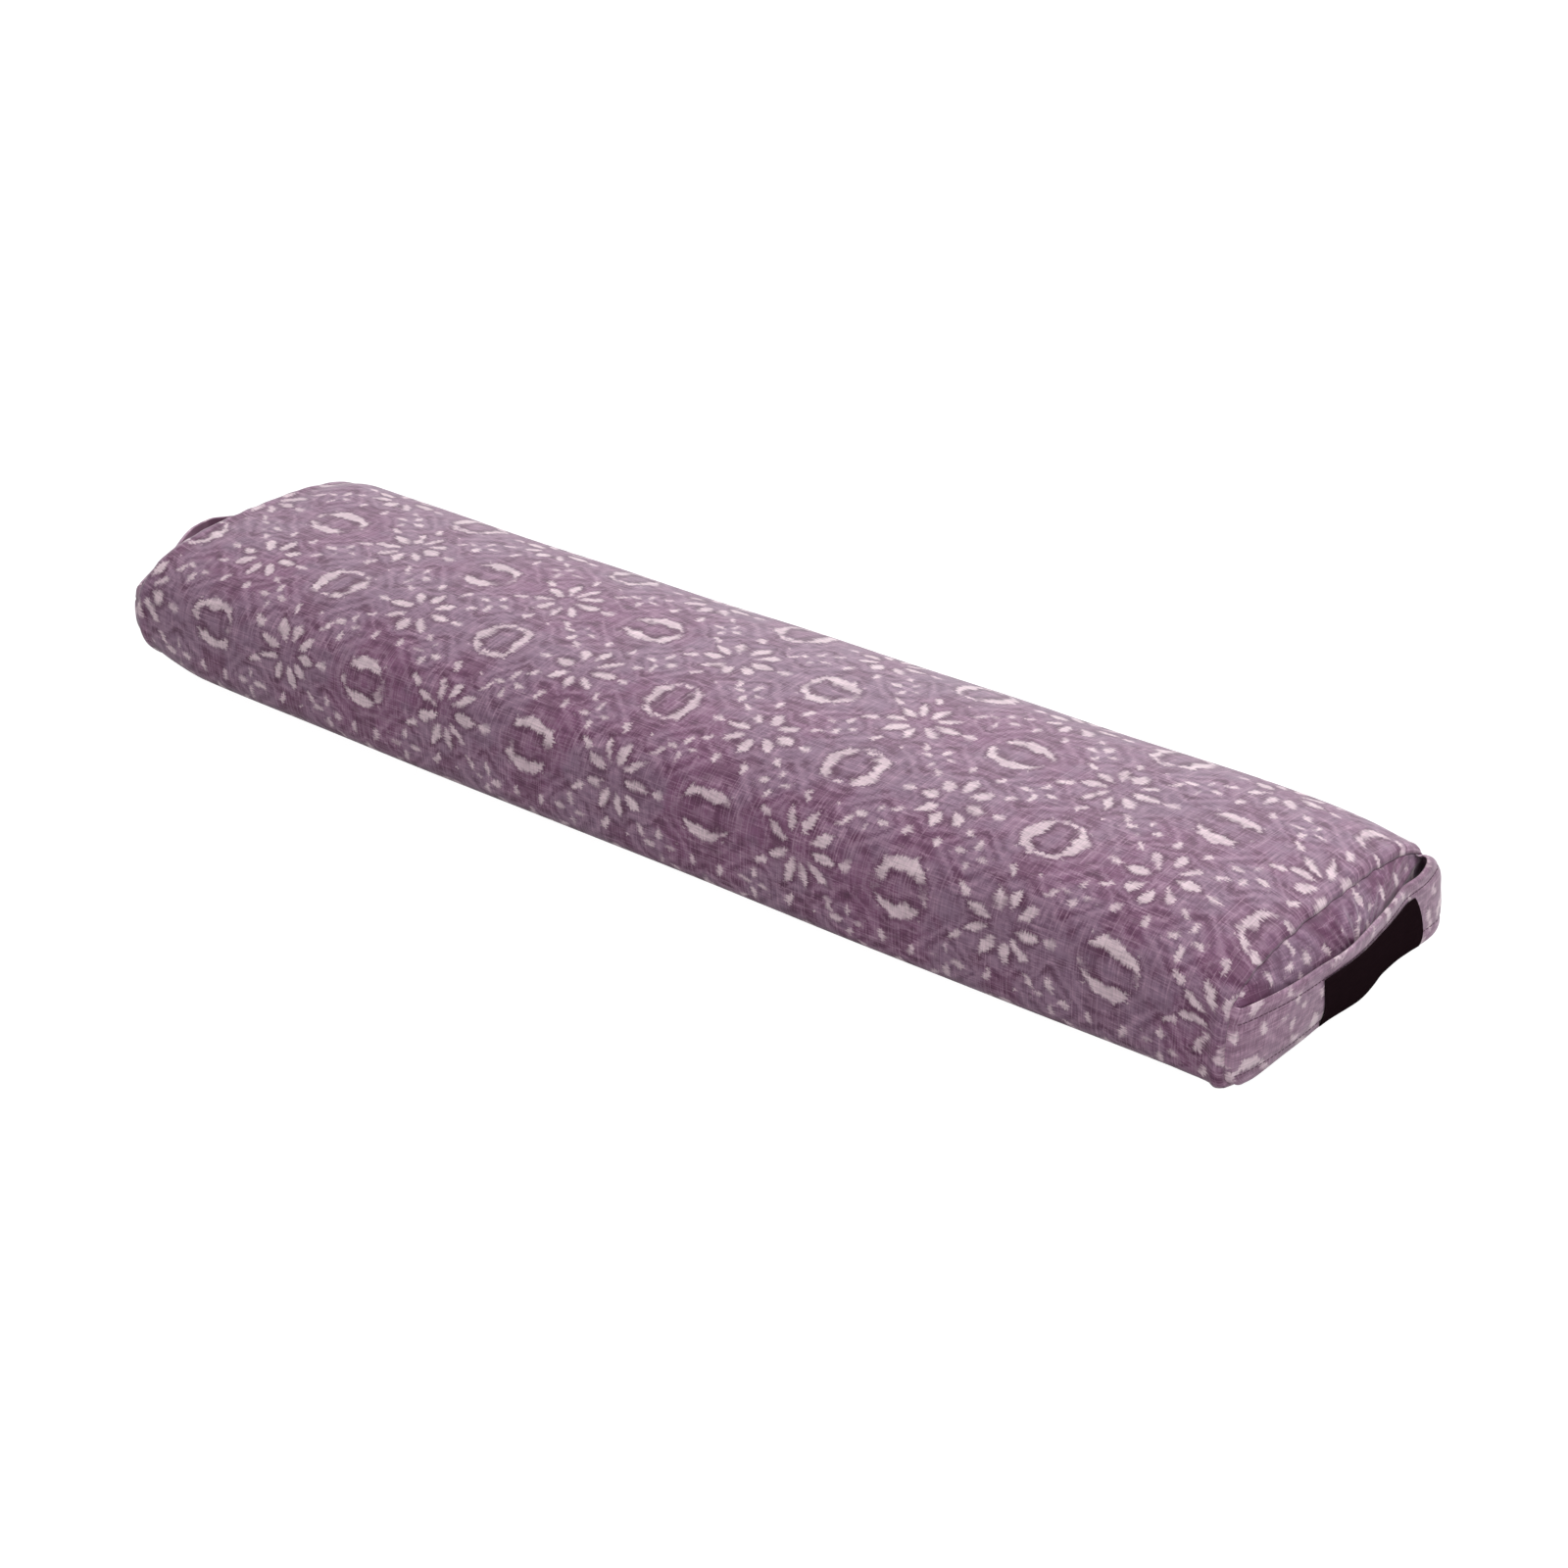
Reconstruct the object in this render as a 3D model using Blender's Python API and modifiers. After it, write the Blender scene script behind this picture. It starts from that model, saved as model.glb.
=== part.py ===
"""A long, slim yoga bolster: a printed cotton cover with a carrying strap across each end,
closed by a zip along its back, over a sewn inner case packed with sheets of cotton batting.

Metres, +Z up. X runs along the bolster, and the right end (+X) carries the woven label.
The origin is on the floor, under the middle of the cushion. The zip is on the back (+Y).
"""

import math
from dataclasses import dataclass

import bmesh
import bpy
from mathutils import Matrix, Vector

# Cushion
BODY_LENGTH = 0.762  # from end seam to end seam
BODY_WIDTH = 0.200
BODY_HEIGHT = 0.0825  # at the crown, in the middle
RIGHT_END_HEIGHT = 0.0685  # at the right end's seam
LEFT_END_HEIGHT = 0.0790
END_TAPER = 0.027  # how far in from a seam the crown has mostly risen
END_CROWN = 0.0130  # how far an end panel swells past its seam
BASE_PRESS = 0.0008  # how far the rounded underside is pressed flat by the floor
TOP_POWER = 2.65  # squareness of the upper corners: 2 is an ellipse
END_TOP_POWER = 2.8
# Squareness of the lower corners at places from the left end, -1, to the right end, 1
BASE_POWERS = ((-1.0, 2.3), (-0.94, 3.5), (-0.87, 4.6), (-0.6, 5.3), (0.0, 6.2), (0.45, 7.4), (1.0, 7.6))
CROWN_POWER = 2.2  # how far a panel's flat middle reaches before it falls to its seam
CROWN_FALL = 0.75  # how steeply it falls there
CROWN_LEAN = 0.22  # how much more of it lies above the middle
FLATTENING_POWER = 1.5  # how late a flattened panel's swelling starts to go

# Cloth, sewing and stuffing
GAP = 0.0003  # between pieces that lie on each other
COVER_THICKNESS = 0.0010
SEAM_ALLOWANCE = 0.009  # cloth turned in at each end seam
SHOULDERS = (0.006, 0.016)  # rings in from an end seam where the crown rises
BODY_RINGS = (0.080, 0.260)  # rings further in, the same in cover, case and batting
CASE_THICKNESS = 0.0006
CASE_END_ROOM = 0.0058  # how much further in the case lies where the seam allowances are
CASE_END_REACH = 0.018  # from the end seam, beyond which it comes out to the cover
CASE_SHORTENING = 0.0045  # from the end seams to its own
BATTING_LAYERS = 5
BATTING_EASE = 0.0009  # between the sides of the stuffing and the case

# Carrying straps
STRAP_WIDTH = 0.045
STRAP_THICKNESS = 0.0018
STRAP_TAIL = 0.008  # sewn into the side seam
STRAP_CUP = 0.0025  # how far its middle bows out past its edges
RIGHT_STRAP_BASE = 0.0040  # height of its lower edge at the front
RIGHT_STRAP_RISE = 0.0015  # how much higher it is at the back
RIGHT_STRAP_LIFT = 0.0045  # how much further its upper edge rises there
RIGHT_STRAP_BOW = 0.0155  # how far out it stands from the end seam
LEFT_STRAP_BASE = 0.0120
LEFT_STRAP_RISE = 0.0
LEFT_STRAP_LIFT = 0.0
LEFT_STRAP_BOW = 0.0478
STRAP_EASE = 0.0010  # between the strap and the end panel where it lies on it
LIFT_SPAN = (0.84, 0.99)  # shares of the strap's length between which its upper edge rises
TAIL_ROOM = STRAP_THICKNESS + 6 * GAP  # that the end panel's edge leaves beside a tail
TAIL_EASE = 0.006  # height over which the edge comes back out above and below the tail

# Woven label on the right strap
LABEL_START = 0.064  # along the strap's upper half from its front seam
LABEL_LENGTH = 0.109
LABEL_SKEW = 0.0145  # how much further along its lower edge lies, where the strap turns under
LABEL_WIDTH = 0.036
LABEL_THICKNESS = 0.0005
LABEL_EDGE = 0.0012  # between the label and the strap's lower edge

# Zip
ZIP_MARGIN = 0.081  # from each end seam
ZIP_LENGTH = BODY_LENGTH - 2 * ZIP_MARGIN
ZIP_DROP = 0.00525  # of its centre line below the middle of the back
ZIP_HEIGHT = BODY_HEIGHT / 2 - ZIP_DROP  # above the floor
ZIP_MOUTH = 0.0115  # opening in the cover
MOUTH_END_ROOM = 4 * GAP  # past the stops
ZIP_SET_BACK = 0.0013  # tape behind the cover's inner face
TAPE_WIDTH = 0.014  # one side
TAPE_THICKNESS = 0.0007
TAPE_END = 0.012  # past the coil
COIL_WIDTH = 0.0026  # one side
COIL_THICKNESS = 0.0019
COIL_PARTING = 0.0012  # between the two sides, where the slider's neck runs
COIL_ROUNDING = 0.3  # share of its thickness
STOP_LENGTH = 0.0035
STOP_PROUD = 0.0002
STOP_ROUNDING = 0.25

# Slider and pull
SLIDER_LENGTH = 0.012
SLIDER_WIDTH = 0.0092
SLIDER_PLATE = 0.0010
SLIDER_NECK = 0.0006
SLIDER_FLANGE = 0.0009
BAIL_LENGTH = 0.0068
BAIL_RADIUS = 0.0005
BAIL_CLEAR = 0.0026  # under the bail
BAIL_CORNER = 0.0009
PULL_LENGTH = 0.026
PULL_WIDTH = 0.0068
PULL_HEAD_WIDTH = 0.0054
PULL_THICKNESS = 0.0012
PULL_BAR = 0.0014  # crossbar that turns under the bail
PULL_EYE_LENGTH = 0.0046
PULL_EYE_WIDTH = 0.0026

# Mesh fineness
RING_POINTS = 40
WALL_STEPS = 4  # up the back and down the front of a batting layer
FLAT_STEPS = 6  # across its top and its underside
CAP_SHARES = (1.0, 0.75, 0.4, 0.0)  # rings over its crowned ends, as shares of its outline
DOME_ROWS = 5
DOME_SPACING = 1.7  # above 1, an end panel's rows are closer together near its seam
STRAP_COLUMNS = 30
STRAP_ROWS = 7
COLUMN_CROWDING = 0.4  # 0 spaces a strap's columns evenly, 1 crowds them towards its seams
ROW_CROWDING = 0.8
SLOPE_STEP = 0.0005  # along a strap, to measure which way it faces
LABEL_COLUMNS = 14
CASE_LEVELS = (0.93, 0.75, 0.45)  # rings over a crowned end, as shares of its outline

HALF_LENGTH = BODY_LENGTH / 2
HALF_WIDTH = BODY_WIDTH / 2
STRAP_SEAM_INSET = COVER_THICKNESS + 4 * GAP + STRAP_THICKNESS / 2  # of a tail's middle surface
# The stuffing's back is drawn in by the depth that the zip's tape and the slider's inner plate take up
BACK_SQUEEZE = 1 - (ZIP_SET_BACK + TAPE_THICKNESS + SLIDER_PLATE + 2 * GAP) / HALF_WIDTH


@dataclass(frozen=True)
class End:
    """What differs between the two ends. strap_path follows the strap in plan from its front seam to
    its back seam. A point gives the place across, -1 at the front and 1 at the back, and how far out
    from the seam it is, as a share of the bow, for the strap's lower edge and then its upper edge."""

    side: int
    height: float  # at the end seam
    back_flattening: float  # share of the panel's swelling that is lost towards the back
    strap_base: float
    strap_rise: float
    strap_lift: float
    strap_bow: float
    strap_path: tuple


RIGHT = End(
    side=1,
    height=RIGHT_END_HEIGHT,
    back_flattening=0.95,
    strap_base=RIGHT_STRAP_BASE,
    strap_rise=RIGHT_STRAP_RISE,
    strap_lift=RIGHT_STRAP_LIFT,
    strap_bow=RIGHT_STRAP_BOW,
    strap_path=(
        (-1.00, 0.065, -1.00, 0.065),
        (-0.95, 0.226, -0.96, 0.161),
        (-0.90, 0.290, -0.88, 0.310),
        (-0.74, 0.290, -0.70, 0.529),
        (-0.58, 0.310, -0.53, 0.665),
        (-0.42, 0.323, -0.36, 0.871),
        (-0.26, 0.355, -0.21, 1.000),
        (-0.12, 0.439, -0.08, 1.000),
        (0.02, 0.529, 0.06, 0.923),
        (0.16, 0.581, 0.20, 0.806),
        (0.33, 0.484, 0.34, 0.677),
        (0.48, 0.323, 0.48, 0.516),
        (0.63, 0.271, 0.62, 0.430),
        (0.78, 0.355, 0.76, 0.500),
        (0.92, 0.477, 0.89, 0.480),
        (1.05, 0.490, 0.99, 0.400),
        (1.12, 0.310, 1.02, 0.260),
        (1.08, 0.129, 1.01, 0.116),
        (1.00, 0.065, 1.00, 0.065),
    ),
)
LEFT = End(
    side=-1,
    height=LEFT_END_HEIGHT,
    back_flattening=0.0,
    strap_base=LEFT_STRAP_BASE,
    strap_rise=LEFT_STRAP_RISE,
    strap_lift=LEFT_STRAP_LIFT,
    strap_bow=LEFT_STRAP_BOW,
    strap_path=(
        (-1.00, 0.021, -1.00, 0.021),
        (-0.96, 0.115, -0.96, 0.115),
        (-0.80, 0.282, -0.80, 0.282),
        (-0.50, 0.513, -0.50, 0.513),
        (-0.26, 0.743, -0.26, 0.743),
        (-0.12, 0.900, -0.12, 0.900),
        (0.00, 0.987, 0.00, 0.987),
        (0.06, 1.000, 0.06, 1.000),
        (0.14, 0.900, 0.14, 0.900),
        (0.26, 0.722, 0.26, 0.722),
        (0.50, 0.471, 0.50, 0.471),
        (0.75, 0.272, 0.75, 0.272),
        (0.94, 0.126, 0.94, 0.126),
        (1.00, 0.021, 1.00, 0.021),
    ),
)


def signed_power(value, power):
    return math.copysign(abs(value) ** power, value)


def smooth_step(value, low, high):
    """0 below low, 1 above high, with a soft step between."""
    share = min(max((value - low) / (high - low), 0.0), 1.0)
    return share * share * (3 - 2 * share)


def through(points, at):
    """A smooth curve through (place, value) points: cubic pieces with the slopes of a Catmull-Rom curve."""
    places = [p[0] for p in points]
    values = [p[1] for p in points]
    last = len(points) - 1
    i = next((k for k in range(last) if at <= places[k + 1]), last - 1)

    def slope(k):
        low, high = max(k - 1, 0), min(k + 1, last)
        return (values[high] - values[low]) / (places[high] - places[low])

    span = places[i + 1] - places[i]
    u = min(max((at - places[i]) / span, 0.0), 1.0)
    start = (2 * u**3 - 3 * u**2 + 1) * values[i] + (u**3 - 2 * u**2 + u) * span * slope(i)
    finish = (3 * u**2 - 2 * u**3) * values[i + 1] + (u**3 - u**2) * span * slope(i + 1)
    return start + finish


# The cushion's shape


def end_share(x):
    """0 in the middle of the cushion and 1 at its end seams."""
    return math.exp(-max(HALF_LENGTH - abs(x), 0.0) / END_TAPER)


def section_at(x, inset=0.0):
    """Half width, height of the centre, half height, and the powers of the upper and lower corners."""
    share = end_share(x)
    end_height = RIGHT.height if x > 0 else LEFT.height
    top = BODY_HEIGHT + (end_height - BODY_HEIGHT) * share - inset
    bottom = inset - BASE_PRESS
    top_power = TOP_POWER + (END_TOP_POWER - TOP_POWER) * share
    base_power = through(BASE_POWERS, x / HALF_LENGTH)
    return HALF_WIDTH - inset, (top + bottom) / 2, (top - bottom) / 2, top_power, base_power


def outline_point(turn, x, inset=0.0):
    """(y, z) on the section's outline at x. turn runs from 0 at the back (+Y), over the top, to 1."""
    half_width, centre, half_height, top_power, base_power = section_at(x, inset)
    cosine, sine = math.cos(2 * math.pi * turn), math.sin(2 * math.pi * turn)
    power = top_power if sine >= 0 else base_power
    y = signed_power(cosine, 2 / power) * half_width
    z = centre + signed_power(sine, 2 / power) * half_height
    return y, max(z, inset)


def wall_y(x, z, inset=0.0):
    """Half width of the cushion at height z."""
    half_width, centre, half_height, top_power, base_power = section_at(x, inset)
    power = top_power if z >= centre else base_power
    rise = min(abs(z - centre) / half_height, 1.0)
    return half_width * (1 - rise**power) ** (1 / power)


def dome(level):
    """Height of a swollen panel, 0 at its edge (level 1) and 1 at its middle (level 0)."""
    return (1 - min(level, 1.0) ** CROWN_POWER) ** CROWN_FALL


def panel_swell(end, y, z, inset):
    """How far an end panel stands out from its seam's plane at (y, z)."""
    half_width, centre, half_height, top_power, base_power = section_at(end.side * HALF_LENGTH, inset)
    power = top_power if z >= centre else base_power
    across, up = y / half_width, (z - centre) / half_height
    level = (abs(across) ** power + abs(up) ** power) ** (1 / power)
    kept = 1 - end.back_flattening * min(max(across, 0.0), 1.0) ** FLATTENING_POWER
    return END_CROWN * dome(level) * (1 + CROWN_LEAN * up) * kept


# Blender helpers


def clear_scene():
    for obj in list(bpy.data.objects):
        bpy.data.objects.remove(obj, do_unlink=True)


def make_collection(name):
    collection = bpy.data.collections.new(name)
    bpy.context.scene.collection.children.link(collection)
    return collection


def make_material(name, colour, roughness, metallic=0.0):
    material = bpy.data.materials.new(name)
    material.use_nodes = True
    shader = material.node_tree.nodes["Principled BSDF"]
    shader.inputs["Base Color"].default_value = (*colour, 1.0)
    shader.inputs["Roughness"].default_value = roughness
    shader.inputs["Metallic"].default_value = metallic
    return material


def add_object(name, data, collection, material=None, location=(0, 0, 0), parent=None):
    obj = bpy.data.objects.new(name, data)
    collection.objects.link(obj)
    obj.location = location
    if parent:
        obj.parent = parent
    if material:
        data.materials.append(material)
    return obj


def cloth(name, columns, rows, place, material, closed=False):
    """A grid of columns by rows quads whose corners are moved to place(u, v). With closed, the last
    column meets the first. Corners that land on each other are merged."""
    bm = bmesh.new()
    bmesh.ops.create_grid(bm, x_segments=columns, y_segments=rows, size=0.5)
    for vert in bm.verts:
        u, v = vert.co.x + 0.5, vert.co.y + 0.5
        vert.co = place(u % 1.0 if closed and u > 1 - 1e-6 else u, v)
    bmesh.ops.remove_doubles(bm, verts=bm.verts, dist=1e-6)
    bmesh.ops.recalc_face_normals(bm, faces=bm.faces)
    mesh = bpy.data.meshes.new(name)
    bm.to_mesh(mesh)
    bm.free()
    mesh.shade_smooth()
    return add_object(name, mesh, PARTS, material)


def thicken(obj, thickness, offset):
    """Solidify. offset -1 grows against the faces' normals, 1 along them and 0 both ways."""
    solid = obj.modifiers.new("thickness", "SOLIDIFY")
    solid.thickness = thickness
    solid.offset = offset
    solid.use_even_offset = True


def face_outwards(obj):
    """Flips an open surface whose faces look at the middle of the cushion."""
    mesh = obj.data
    centre = Vector((0, 0, BODY_HEIGHT / 2))
    looks = sum((face.center - centre).dot(face.normal) * face.area for face in mesh.polygons)
    if looks < 0:
        mesh.flip_normals()


def block(name, size, location, material, parent=None, collection=None):
    """A box with its size in its mesh, so that its scale stays 1."""
    bm = bmesh.new()
    bmesh.ops.create_cube(bm, size=1.0)
    bmesh.ops.scale(bm, vec=size, verts=bm.verts)
    mesh = bpy.data.meshes.new(name)
    bm.to_mesh(mesh)
    bm.free()
    return add_object(name, mesh, collection or PARTS, material, location, parent)


def soften(obj, width, segments=2):
    bevel = obj.modifiers.new("soft edges", "BEVEL")
    bevel.width = width
    bevel.segments = segments


def cut(obj, cutter):
    cutter.hide_render = True
    cutter.display_type = "WIRE"
    boolean = obj.modifiers.new("cut", "BOOLEAN")
    boolean.operation = "DIFFERENCE"
    boolean.object = cutter


def as_mesh(obj, collection):
    """The curve as an ordinary mesh object with its caps welded, under the same name."""
    graph = bpy.context.evaluated_depsgraph_get()
    mesh = bpy.data.meshes.new_from_object(obj.evaluated_get(graph))
    bm = bmesh.new()
    bm.from_mesh(mesh)
    bmesh.ops.remove_doubles(bm, verts=bm.verts, dist=1e-6)
    bm.to_mesh(mesh)
    bm.free()
    name, place, parent = obj.name, obj.matrix_world.copy(), obj.parent
    bpy.data.objects.remove(obj, do_unlink=True)
    made = add_object(name, mesh, collection, None, parent=parent)
    made.matrix_world = place
    return made


# Cover


def stations(distances):
    """Places along X: the given distances in from both ends, and nothing between."""
    inward = [HALF_LENGTH - d for d in distances]
    return [-x for x in inward] + inward[::-1]


def make_cover_wrap(material):
    """The long printed panel that goes round top, front, underside and back."""
    places = stations((0.0, *SHOULDERS, 1.5 * CASE_END_REACH, *BODY_RINGS))

    def place(u, v):
        x = places[round(v * (len(places) - 1))]
        y, z = outline_point(u, x)
        return Vector((x, y, z))

    wrap = cloth("cover_wrap", RING_POINTS, len(places) - 1, place, material, closed=True)
    face_outwards(wrap)
    thicken(wrap, COVER_THICKNESS, -1)
    mouth = block(
        "zip_mouth_cutter",
        (ZIP_LENGTH + 2 * (STOP_LENGTH + MOUTH_END_ROOM), 12 * COVER_THICKNESS, ZIP_MOUTH),
        (0, HALF_WIDTH, ZIP_HEIGHT),
        None,
        collection=CUTTERS,
    )
    cut(wrap, mouth)


def tail_room(end, z):
    """Extra inset of the end panel's sides where the strap's tail is sewn in beside it."""
    low = end.strap_base - GAP
    high = end.strap_base + end.strap_rise + end.strap_lift + STRAP_WIDTH + GAP
    below = min(max((z - low) / TAIL_EASE + 1, 0.0), 1.0)
    above = min(max((high - z) / TAIL_EASE + 1, 0.0), 1.0)
    return TAIL_ROOM * below * above


def panel_ring(end, turn, x, inset):
    """(y, z) round the end panel's edge, drawn in beside the strap's tails."""
    z = outline_point(turn, end.side * HALF_LENGTH, inset)[1]
    return outline_point(turn, x, inset + tail_room(end, z))


def make_end_panel(name, end, material):
    """A crowned end panel whose seam allowance turns in along the inside of the wrap."""
    inset = COVER_THICKNESS + GAP
    shrinks = [1 - (i / DOME_ROWS) ** DOME_SPACING for i in range(DOME_ROWS + 1)]

    def place(u, v):
        row = round(v * (DOME_ROWS + 1))
        if row == 0:
            x = end.side * (HALF_LENGTH - SEAM_ALLOWANCE)
            return Vector((x, *panel_ring(end, u, x, inset)))
        x = end.side * HALF_LENGTH
        ring_y, ring_z = panel_ring(end, u, x, inset)
        shrink = shrinks[row - 1]
        centre_z = section_at(x, inset)[1]
        y, z = ring_y * shrink, centre_z + (ring_z - centre_z) * shrink
        swell = panel_swell(end, y, z, inset) if shrink < 1 else 0.0
        return Vector((x + end.side * swell, y, z))

    panel = cloth(name, RING_POINTS, DOME_ROWS + 1, place, material, closed=True)
    face_outwards(panel)
    thicken(panel, COVER_THICKNESS, -1)


# Straps and label


def path_places(end):
    """Distances of the path's points along the strap's middle line, in metres from its front seam."""
    places = [0.0]
    middle = [((low + high) / 2, end.strap_bow * (a + b) / 2) for low, a, high, b in end.strap_path]
    for (across, out), (next_across, next_out) in zip(middle, middle[1:]):
        places.append(places[-1] + math.hypot((next_across - across) * HALF_WIDTH, next_out - out))
    return places


def strap_length(end):
    return path_places(end)[-1]


def strap_plan(end, along, up_share):
    """(distance out from the seam, y) of the strap's middle surface, clear of the end panel."""
    places = path_places(end)
    z = strap_height(end, along, up_share)
    reach = wall_y(end.side * HALF_LENGTH, z, STRAP_SEAM_INSET)
    low_across, low_out, high_across, high_out = (
        through(list(zip(places, column)), along) for column in zip(*end.strap_path)
    )
    out = end.strap_bow * (low_out + (high_out - low_out) * up_share)
    out += STRAP_CUP * (1 - (2 * up_share - 1) ** 2) * math.sin(math.pi * along / places[-1])
    y = (low_across + (high_across - low_across) * up_share) * reach
    panel = panel_swell(end, y, z, COVER_THICKNESS + GAP) + STRAP_THICKNESS / 2 + STRAP_EASE
    return (out + panel + math.hypot(out - panel, STRAP_EASE)) / 2, y


def strap_height(end, along, up_share):
    """Height of a strap point: up_share is 0 at its lower edge and 1 at its upper edge."""
    share = min(max(along / strap_length(end), 0.0), 1.0)
    lifted = end.strap_lift * up_share**2 * smooth_step(share, *LIFT_SPAN)
    return end.strap_base + end.strap_rise * share + lifted + up_share * STRAP_WIDTH


def strap_point(end, along, up_share, lift=0.0):
    """A point on the strap's middle surface, along metres from its front seam, and lifted off it.
    Before the front seam and past the back one it is in the strap's sewn-in tails."""
    length = strap_length(end)
    z = strap_height(end, along, up_share)
    held = min(max(along, 0.0), length)
    out, y = strap_plan(end, held, up_share)
    if held != along:
        x = end.side * (HALF_LENGTH - abs(along - held))
        reach = wall_y(x, z, STRAP_SEAM_INSET)
        return Vector((x, math.copysign(reach, along - held), z))
    out_before, y_before = strap_plan(end, max(along - SLOPE_STEP, 0.0), up_share)
    out_after, y_after = strap_plan(end, min(along + SLOPE_STEP, length), up_share)
    run = Vector((y_after - y_before, out_before - out_after)).normalized()
    return Vector((end.side * (HALF_LENGTH + out + lift * run.x), y + lift * run.y, z))


def crowded(share, crowding):
    """Spreads 0 to 1 so that steps get shorter towards both ends."""
    return (1 - crowding) * share + crowding * (1 - math.cos(math.pi * share)) / 2


def strap_columns(end):
    """Distances along the strap, closer together near its seams, with a tail at both ends."""
    length = strap_length(end)
    spans = STRAP_COLUMNS - 2
    inner = [length * crowded(i / spans, COLUMN_CROWDING) for i in range(spans + 1)]
    return [-STRAP_TAIL] + inner + [length + STRAP_TAIL]


def make_strap(name, end, material):
    columns = strap_columns(end)
    strap = cloth(
        name,
        STRAP_COLUMNS,
        STRAP_ROWS,
        lambda u, v: strap_point(end, columns[round(u * STRAP_COLUMNS)], crowded(v, ROW_CROWDING)),
        material,
    )
    thicken(strap, STRAP_THICKNESS, 0)


def make_label(end, material):
    """The woven label, blank, between the strap's upper stitching and its lower edge."""
    lift = STRAP_THICKNESS / 2 + 2 * GAP + LABEL_THICKNESS / 2
    low, high = LABEL_EDGE / STRAP_WIDTH, (LABEL_EDGE + LABEL_WIDTH) / STRAP_WIDTH

    def place(u, v):
        along = LABEL_START + u * LABEL_LENGTH + (1 - v) * LABEL_SKEW
        return strap_point(end, along, low + (high - low) * v, lift)

    label = cloth("strap_label", LABEL_COLUMNS, STRAP_ROWS, place, material)
    thicken(label, LABEL_THICKNESS, 0)


# Inner case and batting


@dataclass(frozen=True)
class Fill:
    """A closed cushion shape inside the cover: its inset, how much more that is near the end seams,
    and how far short of them its own ends stop."""

    inset: float
    end_room: float
    shortening: float

    def inset_at(self, x):
        ease = CASE_END_REACH / 2
        near_end = min(max((abs(x) - HALF_LENGTH + CASE_END_REACH + ease) / ease, 0.0), 1.0)
        return self.inset + self.end_room * near_end

    def section(self, x):
        """Height of the centre and half height at x."""
        return section_at(x, self.inset_at(x))[1:3]

    def rows(self, end, levels):
        """(x, level) rows of the half towards an end: along the body, then over the crowned end."""
        inward = (*BODY_RINGS[::-1], 1.5 * CASE_END_REACH, CASE_END_REACH, self.shortening)
        body = [(end.side * (HALF_LENGTH - distance), 1.0) for distance in inward]
        return body + [(body[-1][0], level) for level in levels]

    def outline(self, turn, x, level):
        """(y, z) of a point. level below 1 is on a crowned end."""
        y, z = outline_point(turn, x, self.inset_at(x))
        centre = self.section(x)[0]
        y = y * BACK_SQUEEZE if y > 0 else y
        return y * level, centre + (z - centre) * level

    def edge(self, x, z, at_back):
        """Half width at height z."""
        edge = wall_y(x, z, self.inset_at(x))
        return edge * BACK_SQUEEZE if at_back else edge

    def on_crown(self, x, y, z):
        """The point of an end at x, moved out onto its crown."""
        end = RIGHT if x > 0 else LEFT
        return Vector((x + end.side * panel_swell(end, y, z, self.inset_at(x)), y, z))


def make_inner_case(material):
    """The sewn case: a bag closed at the right end, and the flap that closes its left end."""
    case = Fill(COVER_THICKNESS + GAP, CASE_END_ROOM, CASE_SHORTENING)
    right, left = (case.rows(end, CASE_LEVELS + (0.0,)) for end in (RIGHT, LEFT))
    rim = left.index((left[-1][0], 1.0))

    def sheet(name, rows, shift=0.0):
        def place(u, v):
            x, level = rows[round(v * (len(rows) - 1))]
            y, z = case.outline(u, x, level)
            point = Vector((x, y, z)) if level == 1 else case.on_crown(x, y, z)
            return point + Vector((shift, 0, 0))

        made = cloth(name, RING_POINTS, len(rows) - 1, place, material, closed=True)
        face_outwards(made)
        thicken(made, CASE_THICKNESS, -1)

    sheet("inner_case_bag", left[: rim + 1][::-1] + right)
    sheet("inner_case_end_flap", left[rim:], -CASE_THICKNESS - GAP)


def layer_ring(fill, x, low, high):
    """(y, z) points round a layer's section at x: up the back, across the top, down the front and
    back across the underside."""
    rises = [math.sin(math.pi / 2 * i / WALL_STEPS) for i in range(WALL_STEPS + 1)]
    heights = [low + (high - low) * rise for rise in rises]
    keep = 1 - BATTING_EASE / HALF_WIDTH
    back = [(fill.edge(x, z, True) * keep, z) for z in heights]
    front = [(-fill.edge(x, z, False) * keep, z) for z in reversed(heights)]

    def across(start, end):
        shares = [i / FLAT_STEPS for i in range(1, FLAT_STEPS)]
        return [(start[0] + (end[0] - start[0]) * share, start[1]) for share in shares]

    return back + across(back[-1], front[0]) + front + across(front[-1], back[0])


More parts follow.
